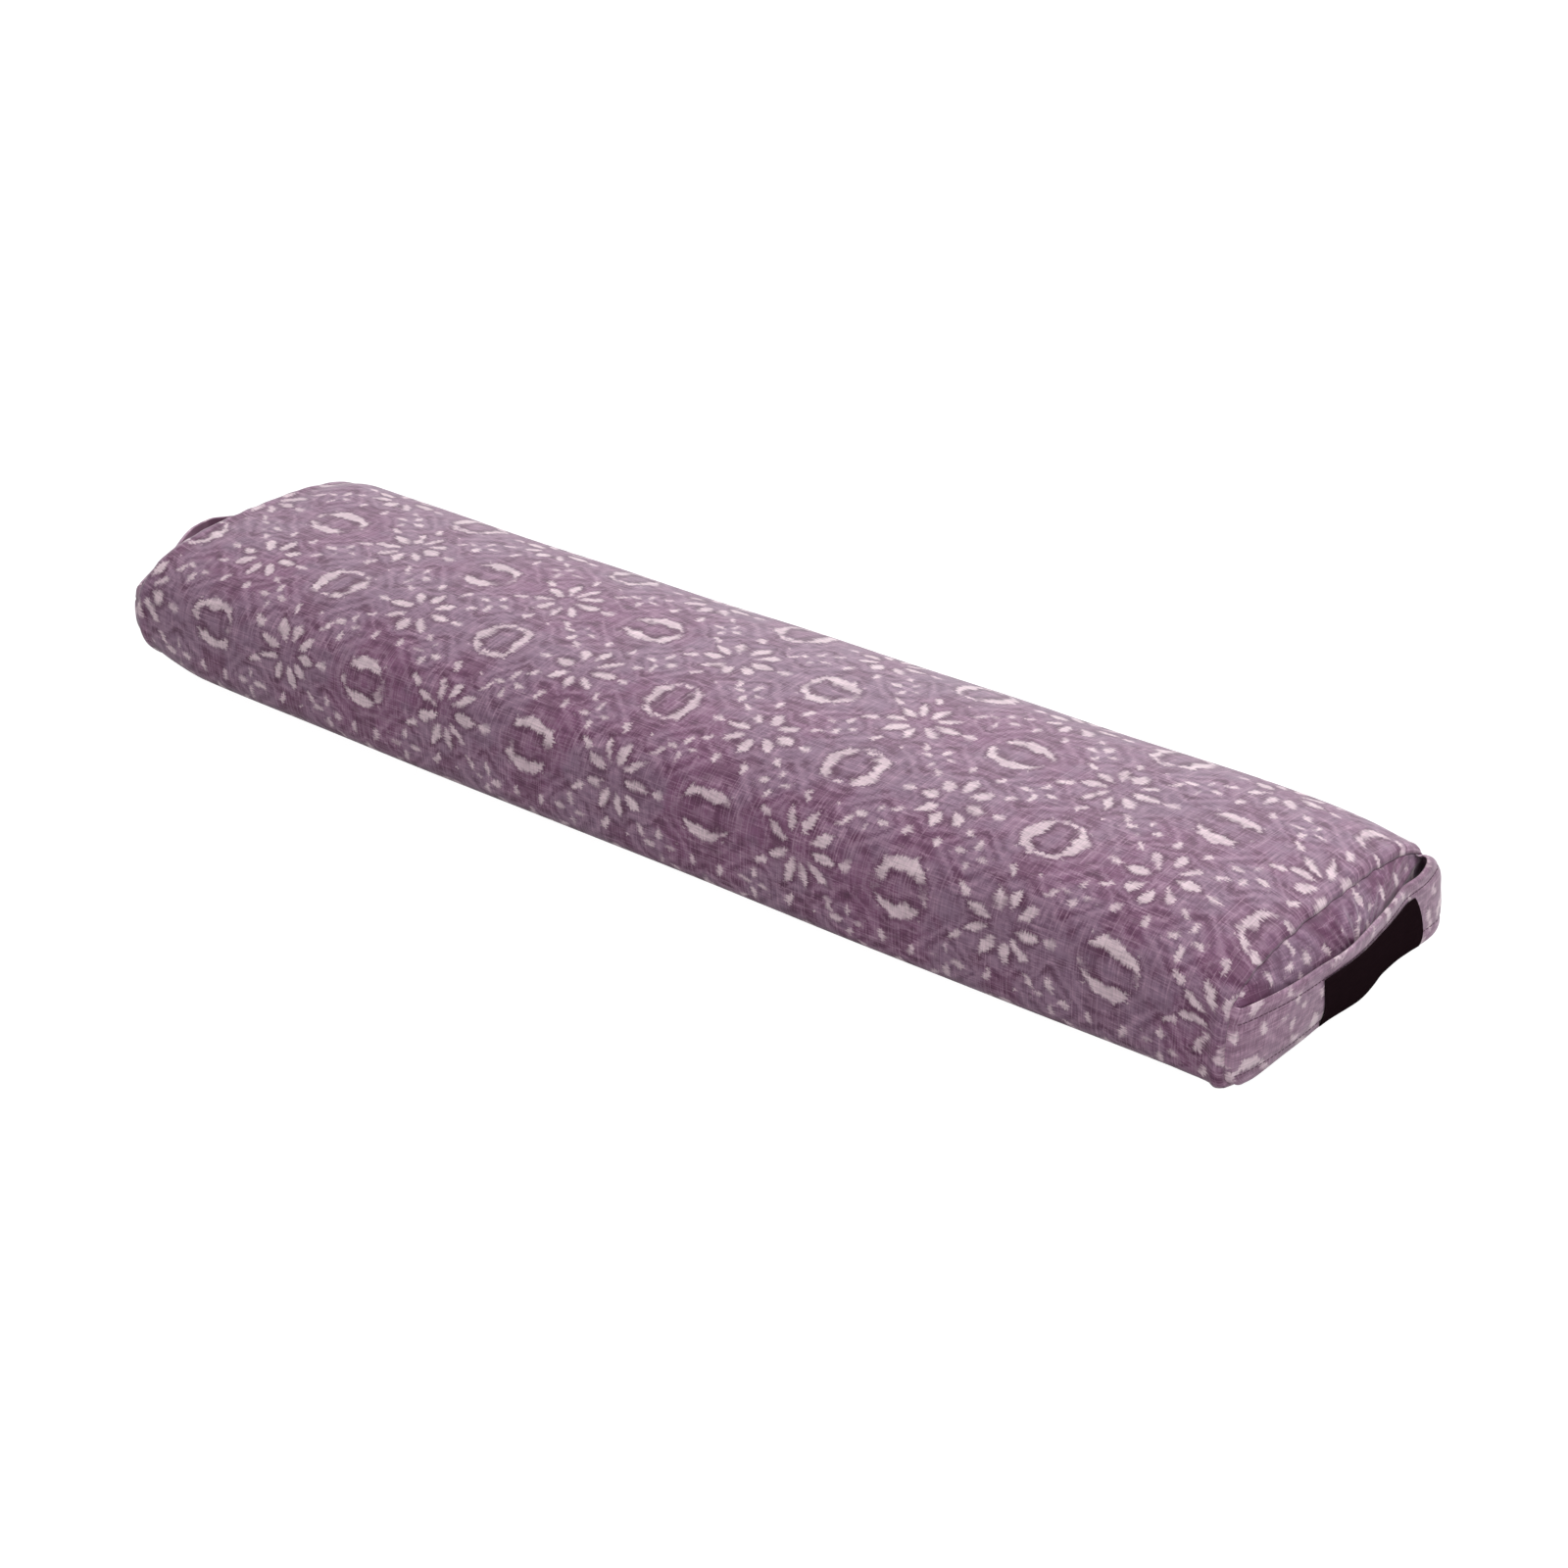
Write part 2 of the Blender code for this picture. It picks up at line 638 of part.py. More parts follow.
def make_batting_layer(index, material):
    """One sheet of the stuffing: the whole stuffed shape kept between two heights."""
    fill = Fill(
        COVER_THICKNESS + GAP + CASE_THICKNESS + GAP,
        CASE_END_ROOM + BATTING_EASE,
        CASE_SHORTENING + CASE_THICKNESS + BATTING_EASE,
    )

    def half_rows(end):
        """(x, share of the outline, whether it lies on the crown), from the middle outwards."""
        body = [(x, 1.0, False) for x, level in fill.rows(end, ())]
        return body + [(body[-1][0], share, True) for share in CAP_SHARES]

    rows = half_rows(LEFT)[::-1] + half_rows(RIGHT)
    last = len(rows) - 1

    def ring_at(x):
        centre, half_height = fill.section(x)
        floor = fill.inset_at(x)
        depth = (centre + half_height - floor) / BATTING_LAYERS
        return layer_ring(fill, x, floor + depth * index, floor + depth * (index + 1) - GAP)

    rings = {row[0]: ring_at(row[0]) for row in rows}
    points = len(rings[rows[0][0]])

    def place(u, v):
        x, share, crowned = rows[round(v * last)]
        ring = rings[x]
        y, z = ring[round(u * points) % points]
        middle = (ring[0][1] + ring[WALL_STEPS][1]) / 2
        y, z = y * share, middle + (z - middle) * share
        return fill.on_crown(x, y, z) if crowned else Vector((x, y, z))

    face_outwards(cloth(f"batting_layer_{index + 1}", points, last, place, material, closed=True))


# Zip


def tape_face():
    """Y of the tapes' outer face."""
    return HALF_WIDTH - COVER_THICKNESS - ZIP_SET_BACK


def coil_face():
    """Y of the coil's outer face."""
    return tape_face() + GAP + COIL_THICKNESS


def make_zip_sides(tape_material, coil_material):
    """The two tapes and the two halves of the coil, above and below the parting line."""
    tape_length = ZIP_LENGTH + 2 * TAPE_END
    for name, side in (("upper", 1), ("lower", -1)):
        tape_z = ZIP_HEIGHT + side * (COIL_PARTING + TAPE_WIDTH) / 2
        block(
            f"zip_tape_{name}",
            (tape_length, TAPE_THICKNESS, TAPE_WIDTH),
            (0, tape_face() - TAPE_THICKNESS / 2, tape_z),
            tape_material,
        )
        coil = block(
            f"zip_coil_{name}",
            (ZIP_LENGTH, COIL_THICKNESS, COIL_WIDTH),
            (
                0,
                coil_face() - COIL_THICKNESS / 2,
                ZIP_HEIGHT + side * (COIL_PARTING + COIL_WIDTH) / 2,
            ),
            coil_material,
        )
        soften(coil, COIL_THICKNESS * COIL_ROUNDING)


def make_zip_stops(material):
    """The crimped stops that end the coil."""
    width = COIL_PARTING + 2 * COIL_WIDTH
    depth = COIL_THICKNESS + STOP_PROUD
    for name, side in (("closed_end", 1), ("open_end", -1)):
        x = side * (ZIP_LENGTH / 2 + GAP + STOP_LENGTH / 2)
        place = (x, tape_face() + GAP + depth / 2, ZIP_HEIGHT)
        stop = block(f"zip_stop_{name}", (STOP_LENGTH, depth, width), place, material)
        soften(stop, depth * STOP_ROUNDING)


def slider_rest_x():
    """The slider rests against the stop at the closed end."""
    return ZIP_LENGTH / 2 - SLIDER_LENGTH / 2


def outline_curve(name, outlines, half_depth, material, collection):
    """A flat plate from closed outlines in its own XY plane: the first is its edge, the rest holes."""
    data = bpy.data.curves.new(name, "CURVE")
    data.dimensions = "2D"
    data.fill_mode = "BOTH"
    data.extrude = half_depth
    for points in outlines:
        spline = data.splines.new("POLY")
        spline.points.add(len(points) - 1)
        for point, (x, y) in zip(spline.points, points):
            point.co = (x, y, 0, 1)
        spline.use_cyclic_u = True
    return add_object(name, data, collection, material)


def slider_profile():
    """The slider across the zip: two plates, the neck between them and a flange down each side of
    the coil. Points are (across, y), with y from the coil's outer face."""
    plate_low, plate_high = GAP, GAP + SLIDER_PLATE
    inner_high = tape_face() - TAPE_THICKNESS - GAP - coil_face()
    inner_low = inner_high - SLIDER_PLATE
    flange_low = tape_face() + GAP - coil_face()
    half, neck = SLIDER_WIDTH / 2, SLIDER_NECK / 2
    cheek = half - SLIDER_FLANGE
    one_side = [
        (half, inner_low),
        (half, inner_high),
        (neck, inner_high),
        (neck, plate_low),
        (cheek, plate_low),
        (cheek, flange_low),
        (half, flange_low),
        (half, plate_high),
    ]
    return one_side + [(-across, y) for across, y in reversed(one_side)]


def bail_path():
    """(x, y) points along the bail: two posts and a flat crest with rounded corners."""
    foot = GAP + SLIDER_PLATE / 2
    crest = GAP + SLIDER_PLATE + BAIL_CLEAR + BAIL_RADIUS
    reach = BAIL_LENGTH / 2 - BAIL_RADIUS
    centre_x, centre_y = BAIL_CORNER - reach, crest - BAIL_CORNER
    path = [(-reach, foot), (-reach, centre_y)]
    path += [
        (centre_x - BAIL_CORNER * math.cos(a), centre_y + BAIL_CORNER * math.sin(a))
        for a in (math.pi / 6, math.pi / 3, math.pi / 2)
    ]
    return path + [(-x, y) for x, y in reversed(path)]


def make_bail_guide(origin):
    """The bail as a wire, to be joined to the slider's outer plate."""
    data = bpy.data.curves.new("bail_guide", "CURVE")
    data.dimensions = "3D"
    data.bevel_depth = BAIL_RADIUS
    data.bevel_resolution = 2
    data.use_fill_caps = True
    path = bail_path()
    spline = data.splines.new("POLY")
    spline.points.add(len(path) - 1)
    for point, (x, y) in zip(spline.points, path):
        point.co = (x, y, 0, 1)
    guide = add_object("bail_guide", data, CUTTERS, None, location=origin)
    bpy.context.view_layer.update()
    guide = as_mesh(guide, CUTTERS)
    guide.hide_render = True
    guide.display_type = "WIRE"
    return guide


def make_slider(material, parent):
    """The slider, with its origin at its middle on the coil's outer face, and the middle of its bail's
    eye, where the pull turns."""
    origin = Vector((slider_rest_x(), coil_face(), ZIP_HEIGHT))
    body = outline_curve("zip_slider", [slider_profile()], SLIDER_LENGTH / 2, None, PARTS)
    body.matrix_world = axes_matrix(origin, Vector((0, 0, -1)), Vector((0, 1, 0)))
    bpy.context.view_layer.update()
    body = as_mesh(body, PARTS)
    body.data.materials.append(material)
    joined = body.modifiers.new("bail", "BOOLEAN")
    joined.operation = "UNION"
    joined.object = make_bail_guide(origin)
    keep_place(body, parent)
    return body, origin + Vector((0, GAP + SLIDER_PLATE + BAIL_CLEAR / 2, 0))


def axes_matrix(origin, x_axis, y_axis):
    """A placement whose own X and Y axes point along the given ones."""
    axes = Matrix((x_axis, y_axis, x_axis.cross(y_axis))).transposed()
    return Matrix.Translation(origin) @ axes.to_4x4()


def keep_place(obj, parent):
    """Parents obj without moving it."""
    bpy.context.view_layer.update()
    place = obj.matrix_world.copy()
    obj.parent = parent
    obj.matrix_parent_inverse = parent.matrix_world.inverted()
    obj.matrix_world = place


def rounded_end(width, length, start, turns):
    """Points round a half-circle end of the given width at x = -length."""
    radius = width / 2
    centre = -length + radius
    return [
        (centre + radius * math.cos(a), radius * math.sin(a))
        for a in (start + i * math.pi / turns for i in range(turns + 1))
    ]


def make_pull(hinge, material, parent):
    """The flat pull tab. Its origin is on the axis that it turns about, inside its crossbar."""
    head = PULL_BAR / 2
    eye_far = -(head + PULL_EYE_LENGTH)
    neck = eye_far - PULL_BAR
    edge = [(head, -PULL_HEAD_WIDTH / 2), (head, PULL_HEAD_WIDTH / 2), (neck, PULL_HEAD_WIDTH / 2)]
    edge += rounded_end(PULL_WIDTH, PULL_LENGTH, math.pi / 2, 8)
    edge += [(neck, -PULL_HEAD_WIDTH / 2)]
    eye = [
        (-head, -PULL_EYE_WIDTH / 2),
        (eye_far, -PULL_EYE_WIDTH / 2),
        (eye_far, PULL_EYE_WIDTH / 2),
        (-head, PULL_EYE_WIDTH / 2),
    ]
    pull = outline_curve("zip_pull", [edge, eye], PULL_THICKNESS / 2, None, PARTS)
    pull.matrix_world = axes_matrix(hinge, Vector((1, 0, 0)), Vector((0, 0, 1)))
    bpy.context.view_layer.update()
    pull = as_mesh(pull, PARTS)
    pull.data.materials.append(material)
    keep_place(pull, parent)


def build():
    print_cloth = make_material("printed_cotton", (0.29, 0.20, 0.27), 0.88)
    label_cloth = make_material("label_weave", (0.02, 0.012, 0.016), 0.7)
    tape_cloth = make_material("zip_tape", (0.12, 0.07, 0.11), 0.85)
    coil_nylon = make_material("zip_coil", (0.10, 0.06, 0.09), 0.45)
    nickel = make_material("nickel", (0.62, 0.60, 0.58), 0.3, 1.0)
    calico = make_material("calico", (0.80, 0.74, 0.62), 0.9)
    batting = make_material("cotton_batting", (0.88, 0.85, 0.78), 0.95)

    origin = bpy.data.objects.new("bolster", None)
    PARTS.objects.link(origin)

    make_cover_wrap(print_cloth)
    make_end_panel("cover_end_right", RIGHT, print_cloth)
    make_end_panel("cover_end_left", LEFT, print_cloth)
    make_strap("handle_strap_right", RIGHT, print_cloth)
    make_strap("handle_strap_left", LEFT, print_cloth)
    make_label(RIGHT, label_cloth)
    make_inner_case(calico)
    for index in range(BATTING_LAYERS):
        make_batting_layer(index, batting)
    make_zip_sides(tape_cloth, coil_nylon)
    make_zip_stops(nickel)

    slider, hinge = make_slider(nickel, origin)
    make_pull(hinge, nickel, slider)
    for obj in PARTS.objects:
        if obj.parent is None and obj is not origin:
            keep_place(obj, origin)


clear_scene()
PARTS = make_collection("yoga_bolster")
CUTTERS = make_collection("cutters")
build()
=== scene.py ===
"""A long, slim yoga bolster in a tie-dyed cotton cover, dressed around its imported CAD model.

The cover's long panel, its end panels, carrying straps, label and zip are modelled here as sewn cloth.
Metres, +Z up. X runs along the bolster and +Y towards its zip. Patterns are reckoned in millimetres.
"""

import math

import bmesh
import bpy
import numpy as np
from mathutils import Matrix, Vector


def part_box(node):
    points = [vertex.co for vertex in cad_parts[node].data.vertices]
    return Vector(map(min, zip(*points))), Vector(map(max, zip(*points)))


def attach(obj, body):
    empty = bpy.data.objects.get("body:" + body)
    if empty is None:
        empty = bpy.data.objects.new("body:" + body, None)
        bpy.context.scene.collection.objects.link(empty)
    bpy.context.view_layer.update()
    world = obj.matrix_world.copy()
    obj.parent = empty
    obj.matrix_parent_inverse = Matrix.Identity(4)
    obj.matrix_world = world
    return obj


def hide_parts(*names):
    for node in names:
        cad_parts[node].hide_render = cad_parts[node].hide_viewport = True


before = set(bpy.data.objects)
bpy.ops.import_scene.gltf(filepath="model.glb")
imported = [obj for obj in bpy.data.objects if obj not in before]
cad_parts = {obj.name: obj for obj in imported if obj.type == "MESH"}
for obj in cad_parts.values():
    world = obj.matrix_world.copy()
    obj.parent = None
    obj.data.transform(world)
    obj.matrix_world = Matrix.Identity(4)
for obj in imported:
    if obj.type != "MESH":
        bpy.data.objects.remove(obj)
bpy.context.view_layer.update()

# Camera, as the photograph was taken
CAMERA_PLACE = (1.02727, -1.25141, 0.84211)
CAMERA_RIGHT = (0.78413, 0.62059, 0.0)
CAMERA_UP = (-0.28431, 0.35923, 0.88889)
CAMERA_LENS = 74.25
SENSOR = 36.0

# Studio
FLOOR_HALF = 12.0
FLOOR_DROP = 0.0005
FLOOR_GLOW = 1.25  # as the camera sees it
ROOM_LIGHT = 0.30

# Cushion, as the CAD model has it
HALF_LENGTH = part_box("cover_wrap")[1].x
HALF_WIDTH = 0.100
BODY_HEIGHT = 0.0825
RIGHT_END_HEIGHT = 0.0685
LEFT_END_HEIGHT = 0.0790
END_TAPER = 0.027
END_CROWN = 0.0130
BASE_PRESS = 0.0008
TOP_POWER = 2.65
END_TOP_POWER = 2.8
BASE_POWERS = ((-1.0, 2.3), (-0.94, 3.5), (-0.87, 4.6), (-0.6, 5.3), (0.0, 6.2), (0.45, 7.4), (1.0, 7.6))
CROWN_POWER = 2.2
CROWN_FALL = 0.75
CROWN_LEAN = 0.22
FLATTENING_POWER = 1.5

# Cloth
CLOTH = 0.0010  # cover's thickness
SEAM_ROLL = 0.0024  # radius with which the cover turns into an end seam
SEAM_SWELL = 0.0008  # how far the cover stands up beside a seam
SEAM_WAVE = 0.0004  # how far a seam wanders from its line
SEAM_TURN_IN = 0.0040
LEFT_SHOULDER = 0.0056  # how far the left end's back corner stands up past the CAD's rounder one
SEAM_PARTING = 0.0005  # between the two panels in the seam's groove
SEAM_GROOVE = 0.0006  # depth of the closing seam and of the mouth's turned edges
RIGHT_PUCKER = 0.00085  # height of the gathers along the right end's seam
LEFT_PUCKER = 0.00045
END_GATHER = 0.0017  # height of the gathers round the end panels
UNEVENNESS = 0.00038  # that the stuffing gives the long panel
END_PRINT_SHIFT = (0.016, 0.093)
FINE_STEP = 0.0005  # mesh spacing at a seam
COARSE_STEP = 0.0032  # and away from it
RING_SAMPLES = 2400
RIPPLE_WAVES = 7

# Straps
STRAP_WIDTH = 0.045
STRAP_THICKNESS = 0.0018
STRAP_TAIL = 0.008
STRAP_CUP = 0.0025
STRAP_EASE = 0.0010
STRAP_SEAM_INSET = CLOTH + 0.0012 + STRAP_THICKNESS / 2
TOP_HEM = 0.0080  # from the strap's upper edge to its stitching
BOTTOM_HEM = 0.0075
HEM_DEPTH = 0.00055  # of the groove that the stitching pulls in
HEM_GROOVE_WIDTH = 0.0009
STITCH_MARGIN = 0.002  # bare at both ends of a strap
STRAP_PRINT_SHIFT = (0.052, 0.118)

# Zip
ZIP_HEIGHT = 0.036
MOUTH = 0.0115
MOUTH_HALF_LENGTH = 0.3047
MOUTH_HEM = 0.0032  # from the mouth's edge to its stitching
MOUTH_HEM_DEPTH = 0.00022
COIL_PITCH = 0.00125
COIL_WIRE = 0.00034

# Stitching
STITCH_PITCH = 0.0032
STITCH_LENGTH = 0.0026
THREAD = 0.00023


def hump(distance, width):
    """1 where distance is 0, and next to nothing at two widths away."""
    return np.exp(-((distance / width) ** 2))


def smooth(value, low, high):
    """0 below low, 1 above high, with a soft step between."""
    share = np.clip((np.asarray(value, float) - low) / (high - low), 0, 1)
    return share * share * (3 - 2 * share)


def through(points, at):
    """A smooth curve through (place, value) points: cubic pieces with the slopes of a Catmull-Rom curve."""
    places = [p[0] for p in points]
    values = [p[1] for p in points]
    last = len(points) - 1
    i = next((k for k in range(last) if at <= places[k + 1]), last - 1)

    def slope(k):
        low, high = max(k - 1, 0), min(k + 1, last)
        return (values[high] - values[low]) / (places[high] - places[low])

    span = places[i + 1] - places[i]
    u = min(max((at - places[i]) / span, 0.0), 1.0)
    start = (2 * u**3 - 3 * u**2 + 1) * values[i] + (u**3 - 2 * u**2 + u) * span * slope(i)
    finish = (3 * u**2 - 2 * u**3) * values[i + 1] + (u**3 - u**2) * span * slope(i + 1)
    return start + finish


def graded(length, fine, coarse, both=False):
    """Places from 0 to length whose spacing grows from fine at 0 to coarse; both grades each end."""
    growth = 0.13
    if both:
        half = graded(length / 2, fine, coarse)
        return np.concatenate([half[:-1], length - half[::-1]])
    places = [0.0]
    while places[-1] < length:
        places.append(places[-1] + min(coarse, fine + growth * places[-1]))
    return np.array(places) * (length / places[-1])


def ripple(share, seed, low, high):
    """A wavy number about 1 high, once round the cushion as share goes from 0 to 1, with random
    numbers of waves from low to high."""
    draw = np.random.default_rng(seed)
    waves = draw.integers(low, high + 1, RIPPLE_WAVES)
    phases = draw.uniform(0, 2 * math.pi, RIPPLE_WAVES)
    total = sum(np.sin(2 * math.pi * n * share + p) for n, p in zip(waves, phases))
    return total / math.sqrt(RIPPLE_WAVES)


# The cushion's shape


def section_at(x, inset=0.0):
    """Half width, height of the centre, half height, and the powers of the upper and lower corners."""
    share = math.exp(-max(HALF_LENGTH - abs(x), 0.0) / END_TAPER)
    end_height = RIGHT_END_HEIGHT if x > 0 else LEFT_END_HEIGHT
    top = BODY_HEIGHT + (end_height - BODY_HEIGHT) * share - inset
    bottom = inset - BASE_PRESS
    top_power = TOP_POWER + (END_TOP_POWER - TOP_POWER) * share
    base_power = through(BASE_POWERS, min(max(x / HALF_LENGTH, -1.0), 1.0))
    return HALF_WIDTH - inset, (top + bottom) / 2, (top - bottom) / 2, top_power, base_power


def even_ring(x, inset, shares):
    """(y, z) points at shares of the way round the section at x, from the zip's height at the back and
    over the top."""
    half_width, centre, half_height, top_power, base_power = section_at(x, inset)
    rise = (ZIP_HEIGHT - centre) / half_height
    power = top_power if rise > 0 else base_power
    start = math.atan2(rise, (1 - abs(rise) ** power) ** (1 / power))
    angle = start + np.linspace(0, 2 * math.pi, RING_SAMPLES)
    cosine, sine = np.cos(angle), np.sin(angle)
    power = np.where(sine >= 0, top_power, base_power)
    reach = (np.abs(cosine) ** power + np.abs(sine) ** power) ** (1 / power)
    y = cosine / reach * half_width
    z = np.maximum(centre + sine / reach * half_height, inset)
    along = np.concatenate([[0.0], np.cumsum(np.hypot(np.diff(y), np.diff(z)))])
    places = (np.asarray(shares) % 1.0) * along[-1]
    return np.interp(places, along, y), np.interp(places, along, z)


def circumference():
    fine = np.linspace(0, 1, RING_SAMPLES)
    y, z = even_ring(0.0, 0.0, fine[:-1])
    return float(np.hypot(np.diff(y, append=y[0]), np.diff(z, append=z[0])).sum())


CLOTH_WIDTH = circumference()


def wall_y(x, z, inset):
    """Half width of the cushion at height z."""
    half_width, centre, half_height, top_power, base_power = section_at(x, inset)
    power = top_power if z >= centre else base_power
    rise = min(abs(z - centre) / half_height, 1.0)
    return half_width * (1 - rise**power) ** (1 / power)


def panel_swell(end, y, z, inset):
    """How far an end panel stands out from its seam's plane at (y, z)."""
    half_width, centre, half_height, top_power, base_power = section_at(end["side"] * HALF_LENGTH, inset)
    power = top_power if z >= centre else base_power
    across, up = y / half_width, (z - centre) / half_height
    level = (abs(across) ** power + abs(up) ** power) ** (1 / power)
    kept = 1 - end["back_flattening"] * min(max(across, 0.0), 1.0) ** FLATTENING_POWER
    dome = (1 - min(level, 1.0) ** CROWN_POWER) ** CROWN_FALL
    return END_CROWN * dome * (1 + CROWN_LEAN * up) * kept


# Mesh helpers


def grid_normals(points):
    """Unit normals of a grid of points[row, column] whose rows are closed rings."""
    across = np.roll(points, -1, 1) - np.roll(points, 1, 1)
    normals = np.cross(across, np.gradient(points, axis=0))
    return normals / np.maximum(np.linalg.norm(normals, axis=2, keepdims=True), 1e-12)


def grid_faces(rows, columns, closed=True, skip=None):
    """Quads of a grid, as the numbers of their points. Its rows are rings if closed."""
    faces = []
    for i in range(rows - 1):
        for j in range(columns if closed else columns - 1):
            if skip is None or not skip(i, j):
                k = (j + 1) % columns
                faces.append((i * columns + j, i * columns + k, (i + 1) * columns + k, (i + 1) * columns + j))
    return faces


def new_object(name, data):
    obj = bpy.data.objects.new(name, data)
    bpy.context.scene.collection.objects.link(obj)
    return obj


def new_piece(name, mesh, node=None):
    """A smooth piece of the cushion, in place of the CAD model's node if one is named."""
    mesh.shade_smooth()
    piece = new_object(name, mesh)
    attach(piece, "cushion")
    if node:
        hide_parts(node)
    return piece


def make_piece(name, points, faces, material, node=None, uvs=None, weld=False):
    """A piece from points, faces and one (u, v) for each face corner, in metres of cloth. weld merges
    the points that lie on each other."""
    mesh = bpy.data.meshes.new(name)
    mesh.from_pydata(np.asarray(points).reshape(-1, 3).tolist(), [], faces)
    if uvs is not None:
        layer = mesh.uv_layers.new(name="cloth")
        layer.uv.foreach_set("vector", np.asarray(uvs, np.float32).ravel())
    if weld:
        bm = bmesh.new()
        bm.from_mesh(mesh)
        bmesh.ops.remove_doubles(bm, verts=bm.verts, dist=1e-6)
        bm.to_mesh(mesh)
        bm.free()
    mesh.materials.append(material)
    mesh.validate()
    return new_piece(name, mesh, node)


def thicken(obj, thickness, offset=-1.0):
    solid = obj.modifiers.new("thickness", "SOLIDIFY")
    solid.thickness = thickness
    solid.offset = offset


def face_out(points, faces, centre):
    """The faces, turned over if most of them look at the centre."""
    p = np.asarray(points).reshape(-1, 3)
    f = np.array([face[:3] for face in faces])
    normals = np.cross(p[f[:, 1]] - p[f[:, 0]], p[f[:, 2]] - p[f[:, 0]])
    if (normals * (p[f[:, 0]] - np.asarray(centre))).sum() < 0:
        return [face[::-1] for face in faces]
    return faces


# Materials


def reckoning(operation):
    """A Field's method that adds a node for an operation."""
    return lambda field, *others: field.graph.math(operation, field, *others)


class Field:
    """A number that varies over a surface: a node's output that can be reckoned with."""

    __add__ = __radd__ = reckoning("ADD")
    __sub__ = reckoning("SUBTRACT")
    __mul__ = reckoning("MULTIPLY")
    __truediv__ = reckoning("DIVIDE")
    __abs__ = reckoning("ABSOLUTE")

    def __init__(self, graph, socket):
        self.graph = graph
        self.socket = socket

    def __rsub__(self, other):
        return self.graph.math("SUBTRACT", other, self)


class Graph:
    """The nodes of a material or a world, added through short calls."""

    def __init__(self, name, world=False):
        self.owner = (bpy.data.worlds if world else bpy.data.materials).new(name)
        self.owner.use_nodes = True
        self.tree = self.owner.node_tree
        self.shader = self.tree.nodes["Background" if world else "Principled BSDF"]

    def add(self, kind, **settings):
        node = self.tree.nodes.new(kind)
        for key, value in settings.items():
            setattr(node, key, value)
        return node

    def feed(self, socket, value):
        """Sets a socket to a field, another socket's output, a number or an (r, g, b)."""
        if isinstance(value, Field):
            value = value.socket
        if isinstance(value, bpy.types.NodeSocket):
            self.tree.links.new(value, socket)
        else:
            socket.default_value = (*value, 1.0) if isinstance(value, tuple) else value

    def math(self, operation, *values):
        node = self.add("ShaderNodeMath", operation=operation)
        for socket, value in zip(node.inputs, values):
            self.feed(socket, value)
        return Field(self, node.outputs[0])

    def low(self, a, b):
        return self.math("MINIMUM", a, b)

    def high(self, a, b):
        return self.math("MAXIMUM", a, b)

    def wave(self, value, length):
        """A sine of value, with waves of that length."""
        return self.math("SINE", value * (2 * math.pi / length))

    def step(self, value, start, end):
        """0 at start, 1 at end, soft between, whichever of the two is larger."""
        node = self.add("ShaderNodeMapRange", interpolation_type="SMOOTHSTEP")
        for key, item in (("Value", value), ("From Min", start), ("From Max", end)):
            self.feed(node.inputs[key], item)
        return Field(self, node.outputs["Result"])

    def noise(self, x, y, detail=1.0, shift=0.0):
        """Smooth noise of about 0 to 1, mean 0.5, with features 1 long in x and y."""
        place = self.add("ShaderNodeCombineXYZ")
        for socket, value in zip(place.inputs, (x, y, shift)):
            self.feed(socket, value)
        node = self.add("ShaderNodeTexNoise")
        self.feed(node.inputs["Vector"], place.outputs[0])
        node.inputs["Scale"].default_value = 1.0
        node.inputs["Detail"].default_value = detail
        return Field(self, node.outputs[0])

    def mix(self, share, first, second):
        """A colour between two colours."""
        node = self.add("ShaderNodeMix", data_type="RGBA", clamp_factor=True)
        for number, value in ((0, share), (6, first), (7, second)):
            self.feed(node.inputs[number], value)
        return node.outputs[2]

    def scaled(self, colour, amount):
        """A colour times a number."""
        node = self.add("ShaderNodeVectorMath", operation="SCALE")
        self.feed(node.inputs[0], colour)
        self.feed(node.inputs["Scale"], amount)
        return node.outputs[0]

    def place(self, socket, count):
        """The first count of a place's x, y and z, turned from metres into millimetres."""
        parts = self.add("ShaderNodeSeparateXYZ")
        self.feed(parts.inputs[0], socket)
        return [Field(self, parts.outputs[i]) * 1000.0 for i in range(count)]

    def cloth_place(self):
        """(u, v) of the cloth, in millimetres."""
        return self.place(self.add("ShaderNodeUVMap", uv_map="cloth").outputs[0], 2)

    def object_place(self):
        """(x, y, z) on the piece, in millimetres."""
        return self.place(self.add("ShaderNodeTexCoord").outputs["Object"], 3)

    def light_path(self, name):
        return Field(self, self.add("ShaderNodeLightPath").outputs[name])

    def bump(self, height, distance, strength):
        node = self.add("ShaderNodeBump")
        node.inputs["Distance"].default_value = distance
        node.inputs["Strength"].default_value = strength
        self.feed(node.inputs["Height"], height)
        self.feed(self.shader.inputs["Normal"], node.outputs[0])

    def finish(self, colour, roughness, **constants):
        self.feed(self.shader.inputs["Base Color"], colour)
        self.feed(self.shader.inputs["Roughness"], roughness)
        for key, value in constants.items():
            self.shader.inputs[key.replace("_", " ")].default_value = value
        return self.owner


PERIOD_X = 126.0  # of the print's repeat, in millimetres
PERIOD_Y = 118.0
WEAVE = 0.9  # from thread to thread
DYE = (0.262, 0.100, 0.208)
GREY_DYE = (0.292, 0.176, 0.272)
DEEP_DYE = (0.112, 0.031, 0.080)
FADED_DYE = (0.485, 0.300, 0.415)
UNDYED = (0.890, 0.705, 0.770)


def repeat(value, period, offset):
    """value as a distance from the nearest place that is offset periods past a multiple of period."""
    turn = value.graph.math("FRACT", value / period + (0.5 - offset))
    return (turn - 0.5) * period


